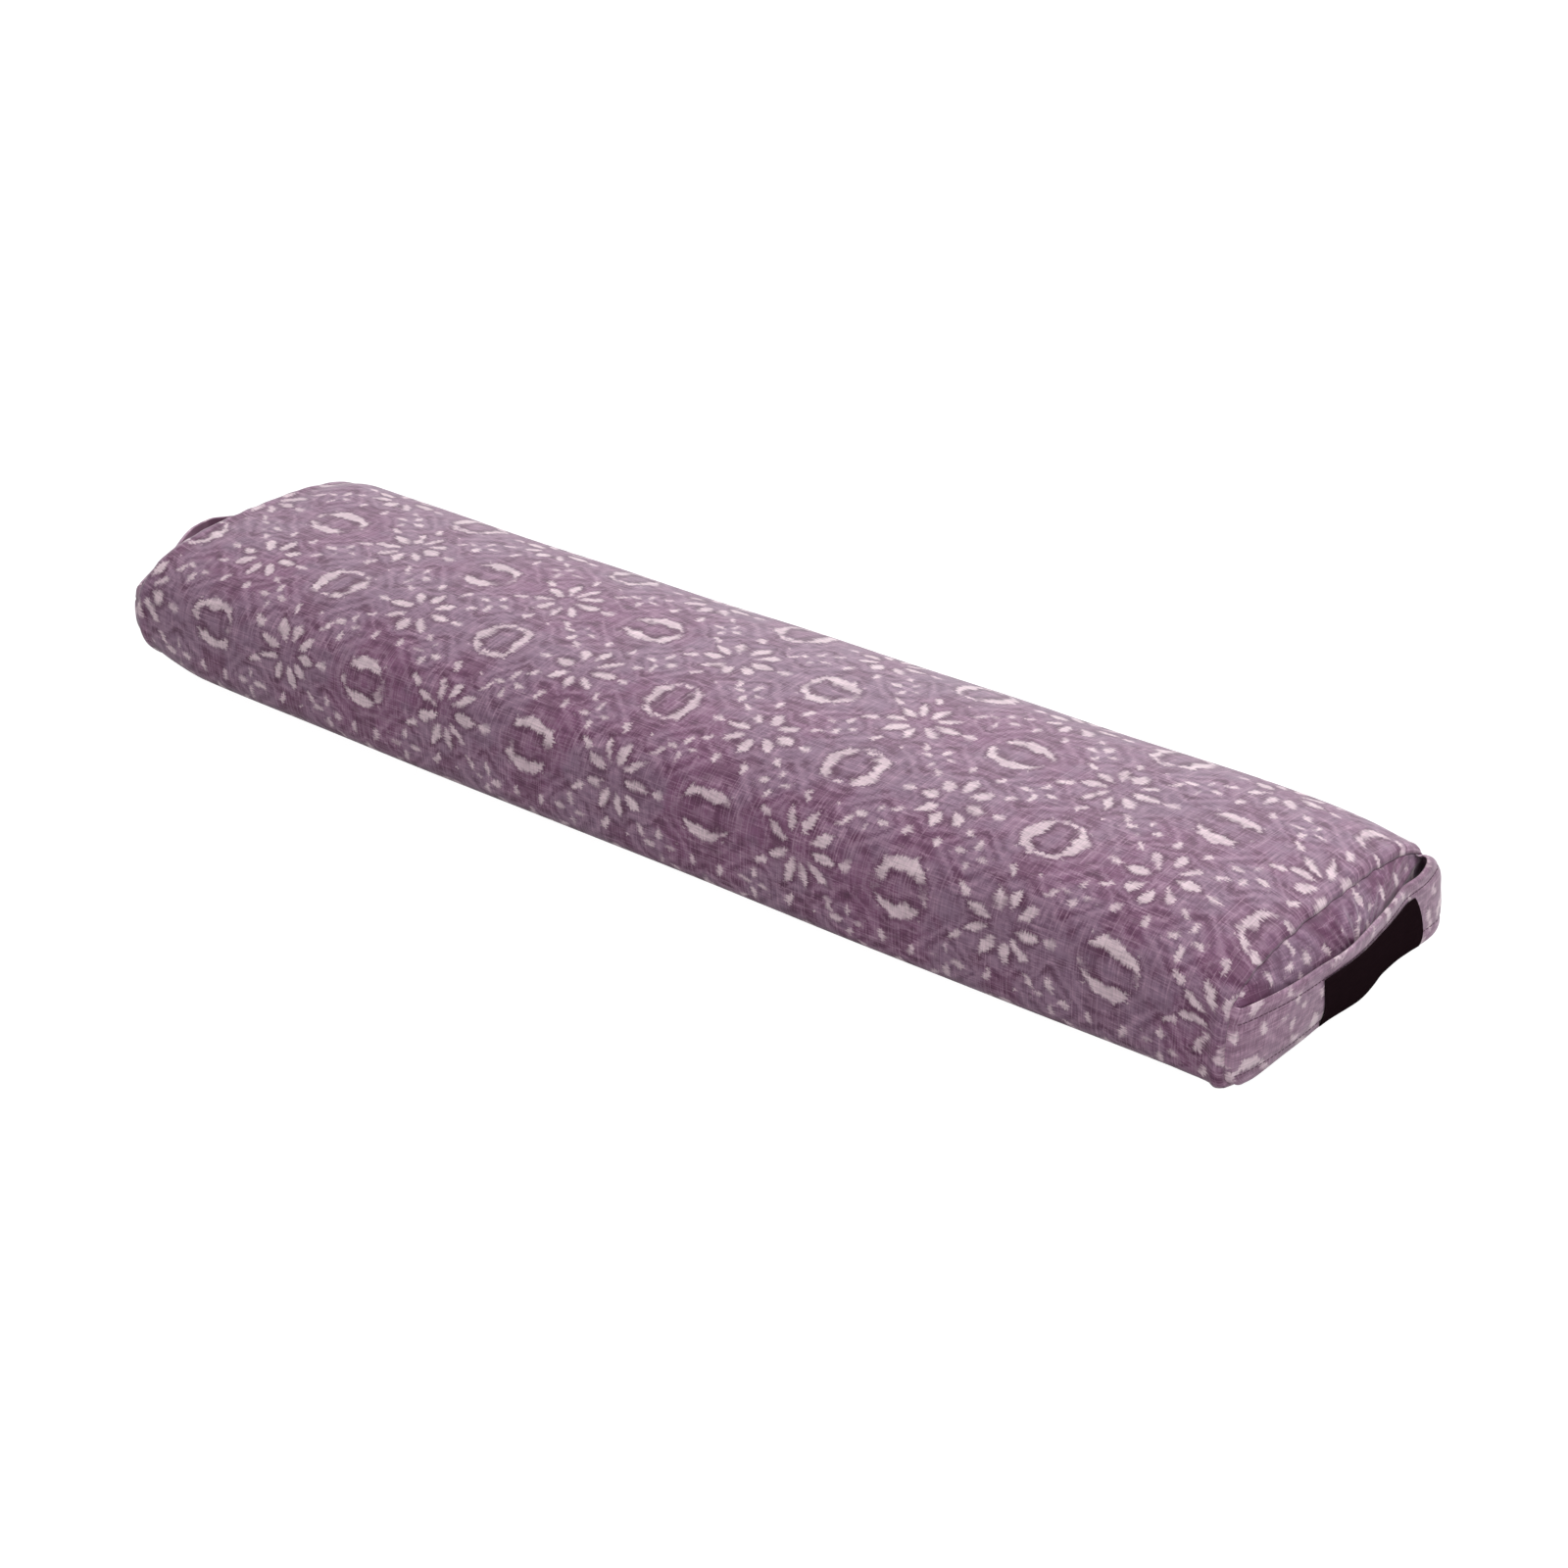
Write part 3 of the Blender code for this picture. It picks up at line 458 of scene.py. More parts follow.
def folded_noise(x, y, size, shift):
    """Noise that mirrors itself about the repeat's axes and is the same again half a repeat away."""
    fold_x, fold_y = abs(repeat(x, PERIOD_X, 0.0)), abs(repeat(y, PERIOD_Y, 0.0))
    one = x.graph.noise(fold_x / size, fold_y / size, 1.0, shift)
    other = x.graph.noise((PERIOD_X / 2 - fold_x) / size, (PERIOD_Y / 2 - fold_y) / size, 1.0, shift)
    return (one + other - 1.0) * 0.75 + 0.5


def burst(x, y, rays, inner, outer, width):
    """Signed distance in millimetres to tapered dashes that point away from a blank centre."""
    radius = x.graph.math("SQRT", x * x + y * y)
    turn = x.graph.math("ARCTAN2", y, x) * (rays / (2 * math.pi))
    aside = (turn - x.graph.math("ROUND", turn)) * radius * (2 * math.pi / rays)
    along = (radius - (inner + outer) / 2) / ((outer - inner) / 2)
    return abs(aside) - (1.0 - along * along) * width


def split_ring(x, y, half_x, half_y, stroke):
    """Signed distance to an upper and a lower crescent, thickest in their middles."""
    level = x.graph.math("SQRT", x * x / half_x**2 + y * y / half_y**2)
    return abs(level - 1.0) * half_y - (1.0 - x * x / (half_x * 0.92) ** 2) * (stroke / 2)


def print_colour(graph, fade_or_painted_shade):
    """The tie-dyed print, on slubbed cotton. Above 0 the last argument makes its dye paler; below 0 it
    darkens the cloth, which is painted shade.
    """
    noise, step, low = graph.noise, graph.step, graph.low
    u, v = graph.cloth_place()
    thread_u = (noise(u / 6.0, v / WEAVE, 0.0) - 0.5) * 4.6
    thread_v = (noise(u / WEAVE, v / 6.0, 0.0, 7.0) - 0.5) * 2.8
    bend_u = (noise(u / 34.0, v / 34.0, 1.0, 3.0) - 0.5) * 9.0
    bend_v = (noise(u / 34.0, v / 34.0, 1.0, 5.0) - 0.5) * 9.0
    x, y = u + bend_u + thread_u, v + bend_v + thread_v

    def at(across, up):
        return repeat(x, PERIOD_X, across), repeat(y, PERIOD_Y, up)

    # Pale shapes, as signed distances
    middle, corner = at(0.0, 0.0), at(0.5, 0.5)
    rays = low(burst(*middle, 9, 8.0, 22.0, 2.6), burst(*corner, 8, 8.5, 21.0, 2.9))
    tips = low(burst(*middle, 7, 25.0, 34.0, 2.2), burst(*corner, 10, 25.0, 33.0, 1.8))
    upright = split_ring(*at(0.0, 0.5)[::-1], 17.0, 13.0, 7.0)
    rings = low(split_ring(*at(0.5, 0.0), 17.0, 12.0, 6.6), upright)
    nest_x, nest_y = repeat(x, PERIOD_X / 2, 0.5), repeat(y, PERIOD_Y / 2, 0.5)
    crosses = burst(nest_x, nest_y, 4, 3.5, 10.5, 1.6)
    uneven = folded_noise(x, y, 7.0, 41.0) - 0.5
    wobble = noise(x / 9.0, y / 9.0, 1.0, 43.0) - 0.5
    big = low(rays + wobble * 7.0 + uneven * 3.0, rings + wobble * 10.0 + uneven * 4.0)
    shapes = low(big, low(tips + uneven * 8.0, crosses + wobble * 7.0))
    flecks = folded_noise(x, y, 6.0, 11.0)
    worn = step(noise(u / 6.0, v, 1.0, 13.0), 0.32, 0.52)
    soaked = step(noise(u / 26.0, v / 26.0, 1.0, 51.0), 0.62, 0.40)
    pale = step(shapes, 1.3, -1.5) * (worn * 0.26 + 0.74) * (soaked * 0.20 + 0.80)
    pale = graph.high(pale, step(flecks, 0.71, 0.85) * 0.85)
    halo = step(big, 9.0, 0.0)
    echo = graph.wave(big - 3.2, 9.0) * step(big, 21.0, 8.0)

    # Dye between them
    contours = graph.math("SINE", folded_noise(x, y, 30.0, 2.0) * 27.0)
    cloud = folded_noise(x, y, 17.0, 4.0)
    around = abs(nest_x) + abs(nest_y) + wobble * 12.0
    nest = graph.wave(around, 9.5) * step(around, 32.0, 20.0)
    wash = noise(u / 70.0, v / 70.0, 1.0, 17.0)

    # Uneven threads
    weft = noise(u / 12.0, v / WEAVE, 1.0, 1.0)
    warp = noise(u / WEAVE, v / 12.0, 1.0, 9.0)
    streak = noise(u / 30.0, v / 3.0, 0.0, 19.0)
    slub = (weft - 0.5) * 0.9 + (warp - 0.5) * 0.9 + (streak - 0.5) * 0.4
    lines = graph.high(noise(u / 50.0, v / 0.8, 0.0, 23.0), noise(u / 0.8, v / 50.0, 0.0, 29.0))
    lines = step(lines, 0.56, 0.78)

    tone = graph.mix(step(wash + cloud * 0.6, 0.70, 0.92), GREY_DYE, DYE)
    dark = step(cloud, 0.44, 0.74) * 0.55 + step(contours, 0.5, -1.0) * 0.20 + halo * 0.30
    dark += step(nest, 0.2, -1.0) * 0.34 + step(echo, 0.1, -1.0) * 0.20
    tone = graph.mix(dark, tone, DEEP_DYE)
    light = step(contours, 0.0, 1.0) * 0.14 + step(slub, 0.0, 0.40) * 0.34 + lines * 0.42
    light += step(nest, 0.0, 1.0) * 0.34 + step(echo, 0.2, 1.0) * 0.30
    # Below 0 the last argument darkens the whole cloth here, which is painted shade.
    tone = graph.mix(light + fade_or_painted_shade, tone, FADED_DYE)
    colour = graph.mix(pale, tone, UNDYED)
    return graph.scaled(colour, 1.0 + slub * 0.55), slub, u, v


def printed_cotton(name, fade_or_painted_shade=0.0):
    graph = Graph(name)
    colour, slub, u, v = print_colour(graph, fade_or_painted_shade)
    weave = graph.wave(u, WEAVE) * graph.wave(v, WEAVE)
    graph.bump(slub * 1.2 + weave * 0.25, 0.00022, 0.6)
    return graph.finish(
        colour, 0.60 - slub * 0.2, Specular_IOR_Level=0.34, Sheen_Weight=0.48, Sheen_Roughness=0.40
    )


def painted_shade_strap_inside():
    """Plain dark plum cloth: painted shade for the shadowed inner face of a strap."""
    graph = Graph("strap_inside_painted_shade")
    u, v = graph.cloth_place()
    slub = graph.noise(u / 40.0, v / WEAVE, 1.0) + graph.noise(u / WEAVE, v / 40.0, 1.0, 5.0) - 1.0
    cloud = graph.noise(u / 14.0, v / 14.0, 1.0, 8.0)
    tone = graph.mix(graph.step(cloud, 0.35, 0.7), (0.330, 0.180, 0.270), (0.440, 0.260, 0.365))
    graph.bump(slub, 0.0002, 0.5)
    return graph.finish(graph.scaled(tone, 1.0 + slub * 0.5), 0.85)


def label_satin():
    graph = Graph("label_satin")
    u, v = graph.cloth_place()
    ribs = graph.wave(v, 0.5) * 0.5 + graph.noise(u / 3.0, v / 0.4, 1.0)
    tone = graph.mix(graph.noise(u / 9.0, v / 1.2, 1.0), (0.012, 0.006, 0.008), (0.020, 0.010, 0.013))
    graph.bump(ribs, 0.00008, 0.6)
    return graph.finish(tone, 0.65, Specular_IOR_Level=0.0)


def thread():
    graph = Graph("sewing_thread")
    x, y, z = graph.object_place()
    twist = graph.wave(x + y + z, 0.35)
    tone = graph.mix(graph.step(twist, -1.0, 1.0), (0.085, 0.042, 0.066), (0.160, 0.088, 0.130))
    graph.bump(twist, 0.00004, 0.7)
    return graph.finish(tone, 0.6)


def woven_tape():
    graph = Graph("zip_tape_weave")
    x, y, z = graph.object_place()
    rows = graph.wave(x, 0.7) * graph.wave(z, 1.1)
    tone = graph.mix(graph.step(rows, -0.6, 0.8), (0.070, 0.034, 0.058), (0.150, 0.085, 0.125))
    graph.bump(rows, 0.00012, 0.8)
    return graph.finish(tone, 0.8, Sheen_Weight=0.2)


def nylon():
    graph = Graph("nylon_coil")
    x, y, z = graph.object_place()
    graph.bump(graph.noise(x / 2.0, z / 2.0, 2.0), 0.00003, 0.5)
    tone = graph.mix(graph.noise(x / 30.0, z / 4.0, 1.0), (0.085, 0.045, 0.072), (0.135, 0.080, 0.115))
    return graph.finish(tone, 0.36, Specular_IOR_Level=0.5)


def nickel():
    graph = Graph("nickel_plate")
    x, y, z = graph.object_place()
    brushed = graph.noise(x / 6.0, z / 0.25, 2.0)
    wear = graph.noise(x / 3.0, z / 3.0, 2.0, 6.0)
    tone = graph.mix(graph.step(wear, 0.45, 0.75), (0.68, 0.66, 0.63), (0.50, 0.47, 0.44))
    graph.bump(brushed, 0.00002, 0.4)
    return graph.finish(tone, 0.24 + wear * 0.16, Metallic=1.0)


def calico():
    graph = Graph("calico")
    x, y, z = graph.object_place()
    weave = graph.wave(x, 0.8) * graph.wave(y + z, 0.8)
    fleck = graph.noise(x / 1.4, (y + z) / 1.4, 1.0, 2.0)
    tone = graph.mix(graph.step(fleck, 0.66, 0.74), (0.76, 0.69, 0.55), (0.34, 0.25, 0.15))
    graph.bump(weave, 0.00012, 0.6)
    return graph.finish(tone, 0.9, Sheen_Weight=0.1)


def batting_cotton():
    graph = Graph("cotton_batting")
    x, y, z = graph.object_place()
    fibres = graph.noise(x / 3.0, (y + z) / 1.1, 4.0, 3.0)
    clumps = graph.noise(x / 24.0, y / 24.0, 2.0)
    tone = graph.mix(graph.step(clumps, 0.35, 0.7), (0.86, 0.83, 0.75), (0.72, 0.67, 0.56))
    graph.bump(fibres, 0.0010, 0.6)
    return graph.finish(graph.scaled(tone, 0.85 + fibres * 0.3), 0.95, Sheen_Weight=0.4)


COTTON = printed_cotton("tie_dyed_cotton")
# The end panels' cloth is darker all over: painted shade for the shade on the ends.
END_COTTON_PAINTED_SHADE = printed_cotton("tie_dyed_end_painted_shade", -0.20)
STRAP_COTTON = printed_cotton("tie_dyed_strap", 0.40)
# Painted shade for the left strap's inner face.
STRAP_INSIDE_PAINTED_SHADE = painted_shade_strap_inside()
SATIN = label_satin()
THREAD_LOOK = thread()
TAPE_LOOK = woven_tape()
COIL_LOOK = nylon()
NICKEL = nickel()
CALICO = calico()
BATTING = batting_cotton()


# Ends, as the CAD model has them. The rows of a strap's path say how far across and how far out its
# lower edge and its upper edge lie, as shares of the half width and of the bow.

RIGHT = {
    "side": 1,
    "name": "right",
    "back_flattening": 0.95,
    "base": 0.0040,
    "rise": 0.0015,
    "bow": 0.0155,
    "back_lift": 0.0060,
    "path": (
        (-1.00, 0.065, -1.00, 0.065), (-0.95, 0.226, -0.96, 0.161), (-0.90, 0.290, -0.88, 0.310),
        (-0.74, 0.290, -0.70, 0.529), (-0.58, 0.310, -0.53, 0.665), (-0.42, 0.323, -0.36, 0.871),
        (-0.26, 0.355, -0.21, 1.000), (-0.12, 0.439, -0.08, 1.000), (0.02, 0.529, 0.06, 0.923),
        (0.16, 0.581, 0.20, 0.806), (0.33, 0.484, 0.34, 0.677), (0.48, 0.323, 0.48, 0.516),
        (0.63, 0.271, 0.62, 0.430), (0.78, 0.355, 0.76, 0.500), (0.92, 0.477, 0.89, 0.480),
        (1.05, 0.490, 0.99, 0.400), (1.12, 0.310, 1.02, 0.260), (1.08, 0.129, 1.01, 0.116),
        (1.00, 0.065, 1.00, 0.065),
    ),
}
LEFT_EDGES = (
    (-1.00, 0.021), (-0.96, 0.115), (-0.80, 0.282), (-0.50, 0.550), (-0.26, 0.820),
    (-0.12, 0.950), (0.00, 0.995), (0.06, 1.000), (0.14, 0.900), (0.26, 0.722),
    (0.50, 0.471), (0.75, 0.272), (0.94, 0.126), (1.00, 0.021),
)
LEFT = {
    "side": -1,
    "name": "left",
    "back_flattening": 0.0,
    "base": 0.0120,
    "rise": 0.0,
    "bow": 0.0478,
    "back_lift": 0.0,
    "path": [edge * 2 for edge in LEFT_EDGES],
}


# Cover


def wrap_stations():
    """(x, inset, distance from the seam) columns of the long panel, turned in at both seams."""
    outer = HALF_LENGTH - MOUTH_HALF_LENGTH
    graded_end = HALF_LENGTH - graded(outer, FINE_STEP, COARSE_STEP)[::-1]
    middle = np.linspace(0, MOUTH_HALF_LENGTH, int(MOUTH_HALF_LENGTH / COARSE_STEP) + 1)
    rolled = []
    for x in np.concatenate([middle[:-1], graded_end]):
        away = HALF_LENGTH - x
        lean = max(SEAM_ROLL - away, 0.0)
        rolled.append((x, SEAM_ROLL - math.sqrt(SEAM_ROLL**2 - lean**2), away))
    rolled += [
        (HALF_LENGTH - 0.0004, SEAM_ROLL + 0.0003, 0.0),
        (HALF_LENGTH - SEAM_TURN_IN, SEAM_ROLL + 0.0005, 0.0),
    ]
    return [(-x, inset, away) for x, inset, away in rolled[:0:-1]] + rolled


def pucker(share, away, seed):
    """Gathers that run from an end seam into the cloth."""
    fold = ripple(share, seed, 26, 44) * 0.6 + ripple(share, seed + 1, 12, 24) * 0.5
    patch = 0.65 + 0.5 * ripple(share, seed + 2, 2, 7)
    reach = 0.012 + 0.006 * ripple(share, seed + 3, 3, 9)
    return fold * patch * np.exp(-away / np.maximum(reach, 0.005)) * smooth(away, 0.0, 0.0025)


def seam_wave(share, x, away):
    """How far the seam at x's end, and the cloth near it, wander along the bolster."""
    return SEAM_WAVE * ripple(share, 91 if x > 0 else 92, 12, 40) * np.exp(-away / 0.010)


def pinch(x, y, z, away):
    """The dimples and small folds where a seam turns the cushion's upper corners."""
    height = section_at(math.copysign(HALF_LENGTH, x))
    corner_z = height[1] + 0.72 * height[2]
    corner_y = 0.93 * height[0]
    up = np.hypot(np.abs(y) - corner_y, z - corner_z)
    turn = np.arctan2(away, np.where(y < 0, 1.0, -1.0) * (np.abs(y) - corner_y) + (z - corner_z))
    reach = np.hypot(up, away)
    fold = np.cos(turn * 7.0 + 0.6) * smooth(reach, 0.001, 0.006)
    return 0.0005 * fold * np.exp(-reach / 0.009) - 0.0014 * hump(reach, 0.006)


def wrap_relief(share, x, away, y, z):
    """How far the long panel stands off its smooth shape, in metres."""
    wall = smooth(section_at(x)[1] * 1.25 - z, -0.006, 0.006)
    height, seed = (RIGHT_PUCKER, 10) if x > 0 else (LEFT_PUCKER, 20)
    relief = height * pucker(share, away, seed) * (1 - 0.65 * wall)
    relief += SEAM_SWELL * (1 + wall) * hump(away - 0.0045, 0.0030)
    relief += pinch(x, y, z, away)
    swell = ripple(share, 31, 2, 5) * math.sin(x * 19.0 + 0.7)
    swell += ripple(share, 32, 3, 8) * math.sin(x * 43.0 + 2.0)
    relief += UNEVENNESS * swell * smooth(away, 0.0, 0.05)
    if x < 0:
        corner = hump(y - 0.064, 0.030) * smooth(z, 0.045, 0.060)
        relief += LEFT_SHOULDER * corner * smooth(away, 0.004, 0.028) * math.exp(-away / 0.045)
    return relief * smooth(z, 0.0005, 0.006)


def make_cover_wrap():
    """The long panel, open along the zip, with its mouth's edges turned in."""
    stations = wrap_stations()
    edge = MOUTH / 2
    main = edge + graded(CLOTH_WIDTH - MOUTH, 0.0006, COARSE_STEP, both=True)
    strip = CLOTH_WIDTH - edge + np.linspace(0, MOUTH, 13)[1:-1]
    lengths = np.concatenate([main, strip]) % CLOTH_WIDTH
    columns = len(lengths)
    share = lengths / CLOTH_WIDTH
    from_edge = np.minimum(np.abs(lengths - edge), np.abs(CLOTH_WIDTH - edge - lengths))
    from_seam = np.minimum(lengths, CLOTH_WIDTH - lengths)
    points = np.zeros((len(stations), columns, 3))
    relief = np.zeros((len(stations), columns))
    for i, (x, inset, away) in enumerate(stations):
        y, z = even_ring(x, inset, share)
        points[i] = np.stack([x + seam_wave(share, x, away), y, z], 1)
        relief[i] = wrap_relief(share, x, away, y, z)
        if abs(x) <= MOUTH_HALF_LENGTH + 1e-6:
            relief[i] -= SEAM_GROOVE * np.exp(-from_edge / 0.0005)
            relief[i] -= MOUTH_HEM_DEPTH * hump(from_edge - MOUTH_HEM, 0.0008)
        else:
            relief[i] -= SEAM_GROOVE * np.exp(-from_seam / 0.0012)
    normals = grid_normals(points)
    if normals[len(stations) // 2, columns // 4, 2] < 0:
        normals = -normals
    points += normals * relief[..., None]
    points[..., 2] = np.maximum(points[..., 2], 0.0)

    def in_mouth(i, j):
        inside = max(abs(stations[i][0]), abs(stations[i + 1][0])) <= MOUTH_HALF_LENGTH + 1e-6
        return inside and j >= len(main) - 1

    faces = grid_faces(len(stations), columns, skip=in_mouth)
    faces = face_out(points, faces, (0, 0, BODY_HEIGHT / 2))
    corners = np.array(faces)
    u = np.array([x for x, inset, away in stations])[corners // columns]
    v = lengths[corners % columns]
    v = np.where(v < v.max(1, keepdims=True) - CLOTH_WIDTH / 2, v + CLOTH_WIDTH, v)
    uvs = np.stack([u, v], -1)
    wrap = make_piece("cover_long_panel", points, faces, COTTON, "cover_wrap", uvs)
    thicken(wrap, CLOTH)


def make_end_cover(end):
    """A crowned end panel, turned in at its seam and gathered a little along it."""
    side = end["side"]
    inset = SEAM_ROLL + SEAM_PARTING
    share = np.linspace(0, CLOTH_WIDTH, 241)[:-1] / CLOTH_WIDTH
    x_seam = side * HALF_LENGTH
    centre_z = section_at(x_seam, inset)[1]
    ring_y, ring_z = even_ring(x_seam, inset, share)
    rows = []
    for depth, extra in ((SEAM_TURN_IN, 0.0003), (0.0004, 0.0)):
        y, z = even_ring(x_seam, inset + extra, share)
        x = side * (HALF_LENGTH - depth) + seam_wave(share, x_seam, depth)
        rows.append(np.stack([x, y, z], 1))
    for level in 1.0 - graded(1.0, 0.004, 0.045):
        y, z = ring_y * level, centre_z + (ring_z - centre_z) * level
        swell = np.array([panel_swell(end, a, b, inset) for a, b in zip(y, z)])
        away = (1 - level) * np.hypot(ring_y, ring_z - centre_z)
        kept = float(smooth(level, 0.0, 0.3))  # nothing at the middle, where the rings close to a point
        gather = END_GATHER * pucker(share, away * 0.55, 50 if side > 0 else 70) * kept
        x = side * (HALF_LENGTH + swell + gather) + seam_wave(share, x_seam, away) * kept
        rows.append(np.stack([x, y, z], 1))
    faces = grid_faces(len(rows), len(share))
    faces = face_out(rows, faces, (side * (HALF_LENGTH - 0.05), 0, BODY_HEIGHT / 2))
    places = np.concatenate(rows)[np.array(faces), 1:]
    uvs = places * (side, 1) + END_PRINT_SHIFT
    name, node = f"cover_end_panel_{end['name']}", f"cover_end_{end['name']}"
    # The panel takes the darkened cloth, which is painted shade.
    panel = make_piece(name, rows, faces, END_COTTON_PAINTED_SHADE, node, uvs, weld=True)
    thicken(panel, CLOTH)


# Inner case and batting

CASE_CLOTH = 0.0006
CASE_INSET = 0.0013  # inside the cushion's outer face
CASE_END_ROOM = 0.0058  # how much further in it lies where the cover's seams turn in
CASE_END_REACH = 0.018
CASE_SHORTENING = 0.0045
BACK_SQUEEZE = 0.964  # the stuffing's back is drawn in beside the zip
BATTING_LAYERS = 5
BATTING_EASE = 0.0009
LAYER_PARTING = 0.0003
CAP_LEVELS = (0.97, 0.92, 0.84, 0.72, 0.56, 0.38, 0.2, 0.0)


def inner_inset(x, inset, end_room):
    ease = CASE_END_REACH / 2
    near_end = min(max((abs(x) - HALF_LENGTH + CASE_END_REACH + ease) / ease, 0.0), 1.0)
    return inset + end_room * near_end


def inner_rows(shortening):
    """(x, share of the outline) rows from one crowned end to the other."""
    reach = HALF_LENGTH - shortening
    body = [(x, 1.0) for x in np.linspace(-reach, reach, 61)]
    return [(-reach, level) for level in CAP_LEVELS[::-1]] + body + [(reach, level) for level in CAP_LEVELS]


def inner_ring(x, y, z, inset, level):
    """Points of the ring at x, moved out onto the crown of its end where level is below 1."""
    end = RIGHT if x > 0 else LEFT
    out = [panel_swell(end, a, b, inset) if level < 1 else 0.0 for a, b in zip(y, z)]
    return np.stack([x + end["side"] * np.array(out), y, z], 1)


def make_inner_case():
    """The sewn calico bag, with a little slack in its cloth, and the flap that closes its left end."""
    share = np.linspace(0, CLOTH_WIDTH, 161)[:-1] / CLOTH_WIDTH
    rings = []
    for x, level in inner_rows(CASE_SHORTENING):
        slack = 0.00025 * (1 + ripple(share, 61, 5, 17) * math.sin(x * 31.0))
        inset = inner_inset(x, CASE_INSET, CASE_END_ROOM)
        y, z = even_ring(x, inset, share)
        centre = section_at(x, inset)[1]
        y = np.where(y > 0, y * BACK_SQUEEZE, y)
        size = level * (1 - slack / HALF_WIDTH)
        rings.append(inner_ring(x, y * size, centre + (z - centre) * size, inset, level))
    rim = len(CAP_LEVELS)
    flap = np.array(rings[: rim + 1]) - (CASE_CLOTH + LAYER_PARTING, 0, 0)
    for name, points, node in (
        ("calico_case", rings[rim:], "inner_case_bag"),
        ("calico_end_flap", flap, "inner_case_end_flap"),
    ):
        faces = face_out(points, grid_faces(len(points), len(share)), (0, 0, BODY_HEIGHT / 2))
        piece = make_piece(name, points, faces, CALICO, node, weld=True)
        thicken(piece, CASE_CLOTH)


def layer_ring(x, inset, index):
    """(y, z) round a batting sheet: up the back, across the top, down the front and back under it."""
    centre, half_height = section_at(x, inset)[1:3]
    depth = (centre + half_height - inset) / BATTING_LAYERS
    low = inset + depth * index
    high = low + depth - LAYER_PARTING
    keep = 1 - BATTING_EASE / HALF_WIDTH
    heights = low + (high - low) * np.sin(np.linspace(0, math.pi / 2, 13))
    front = np.array([-wall_y(x, z, inset) * keep for z in heights])
    back = -front * BACK_SQUEEZE
    shares = np.linspace(0, 1, 26)[1:-1]
    over = back[-1] + (front[-1] - back[-1]) * shares
    under = front[0] + (back[0] - front[0]) * shares
    sag = 0.0004 * (1 + np.sin(over * 71.0 + x * 47.0 + index)) / 2
    y = np.concatenate([back, over, front[::-1], under])
    z = np.concatenate([heights, high - sag, heights[::-1], low + sag[::-1]])
    return y, z, (low + high) / 2


def make_batting():
    """Five sheets of cotton batting, each with soft uneven sides."""
    room = CASE_END_ROOM + BATTING_EASE
    for index in range(BATTING_LAYERS):
        rings = []
        for x, level in inner_rows(CASE_SHORTENING + CASE_CLOTH + BATTING_EASE):
            inset = inner_inset(x, CASE_INSET + CASE_CLOTH + LAYER_PARTING, room)
            y, z, middle = layer_ring(x, inset, index)
            ragged = 1 - 0.004 * (1 + math.sin(x * 130.0 + 2 * index) * math.sin(x * 37.0))
            y, z = y * level * ragged, middle + (z - middle) * level
            rings.append(inner_ring(x, y, z, inset, level))
        points = np.array(rings)
        faces = face_out(points, grid_faces(*points.shape[:2]), points.mean((0, 1)))
        name, node = f"batting_sheet_{index + 1}", f"batting_layer_{index + 1}"
        sheet = make_piece(name, points, faces, BATTING, node, weld=True)


# Straps


def path_places(end):
    """Distances of the path's points along the strap's middle line, in metres from its front seam."""
    places = [0.0]
    middle = [((low + high) / 2, end["bow"] * (a + b) / 2) for low, a, high, b in end["path"]]
    for (across, out), (next_across, next_out) in zip(middle, middle[1:]):
        places.append(places[-1] + math.hypot((next_across - across) * HALF_WIDTH, next_out - out))
    return places


def strap_height(end, along, up_share):
    share = min(max(along / end["length"], 0.0), 1.0)
    lifted = end["back_lift"] * up_share**2 * float(smooth(share, 0.84, 0.99))
    return end["base"] + end["rise"] * share + lifted + up_share * STRAP_WIDTH


def strap_plan(end, along, up_share):
    """(distance out from the seam, y) of the strap's middle surface, clear of the end panel."""
    z = strap_height(end, along, up_share)
    reach = wall_y(end["side"] * HALF_LENGTH, z, STRAP_SEAM_INSET)
    low_across, low_out, high_across, high_out = (through(column, along) for column in end["columns"])
    out = end["bow"] * (low_out + (high_out - low_out) * up_share)
    out += STRAP_CUP * (1 - (2 * up_share - 1) ** 2) * math.sin(math.pi * along / end["length"])
    y = (low_across + (high_across - low_across) * up_share) * reach
    panel = panel_swell(end, y, z, CLOTH + 0.0003) + STRAP_THICKNESS / 2 + STRAP_EASE
    return (out + panel + math.hypot(out - panel, STRAP_EASE)) / 2, y


def strap_point(end, along, up_share, lift):
    """A point on the strap's middle surface, along metres from its front seam, and lifted off it."""
    length = end["length"]
    z = strap_height(end, along, up_share)
    held = min(max(along, 0.0), length)
    out, y = strap_plan(end, held, up_share)
    if held != along:
        x = end["side"] * (HALF_LENGTH - abs(along - held))
        reach = wall_y(x, z, STRAP_SEAM_INSET) + lift
        return (x, math.copysign(reach, along - held), z)
    step = 0.0005
    out_before, y_before = strap_plan(end, max(along - step, 0.0), up_share)
    out_after, y_after = strap_plan(end, min(along + step, length), up_share)
    run_y, run_out = y_after - y_before, out_after - out_before
    size = math.hypot(run_y, run_out)
    x = end["side"] * (HALF_LENGTH + out + lift * run_y / size)
    return (x, y - lift * run_out / size, z)


for strap_end in (RIGHT, LEFT):
    strap_places = path_places(strap_end)
    strap_end["length"] = strap_places[-1]
    strap_end["columns"] = [list(zip(strap_places, column)) for column in zip(*strap_end["path"])]


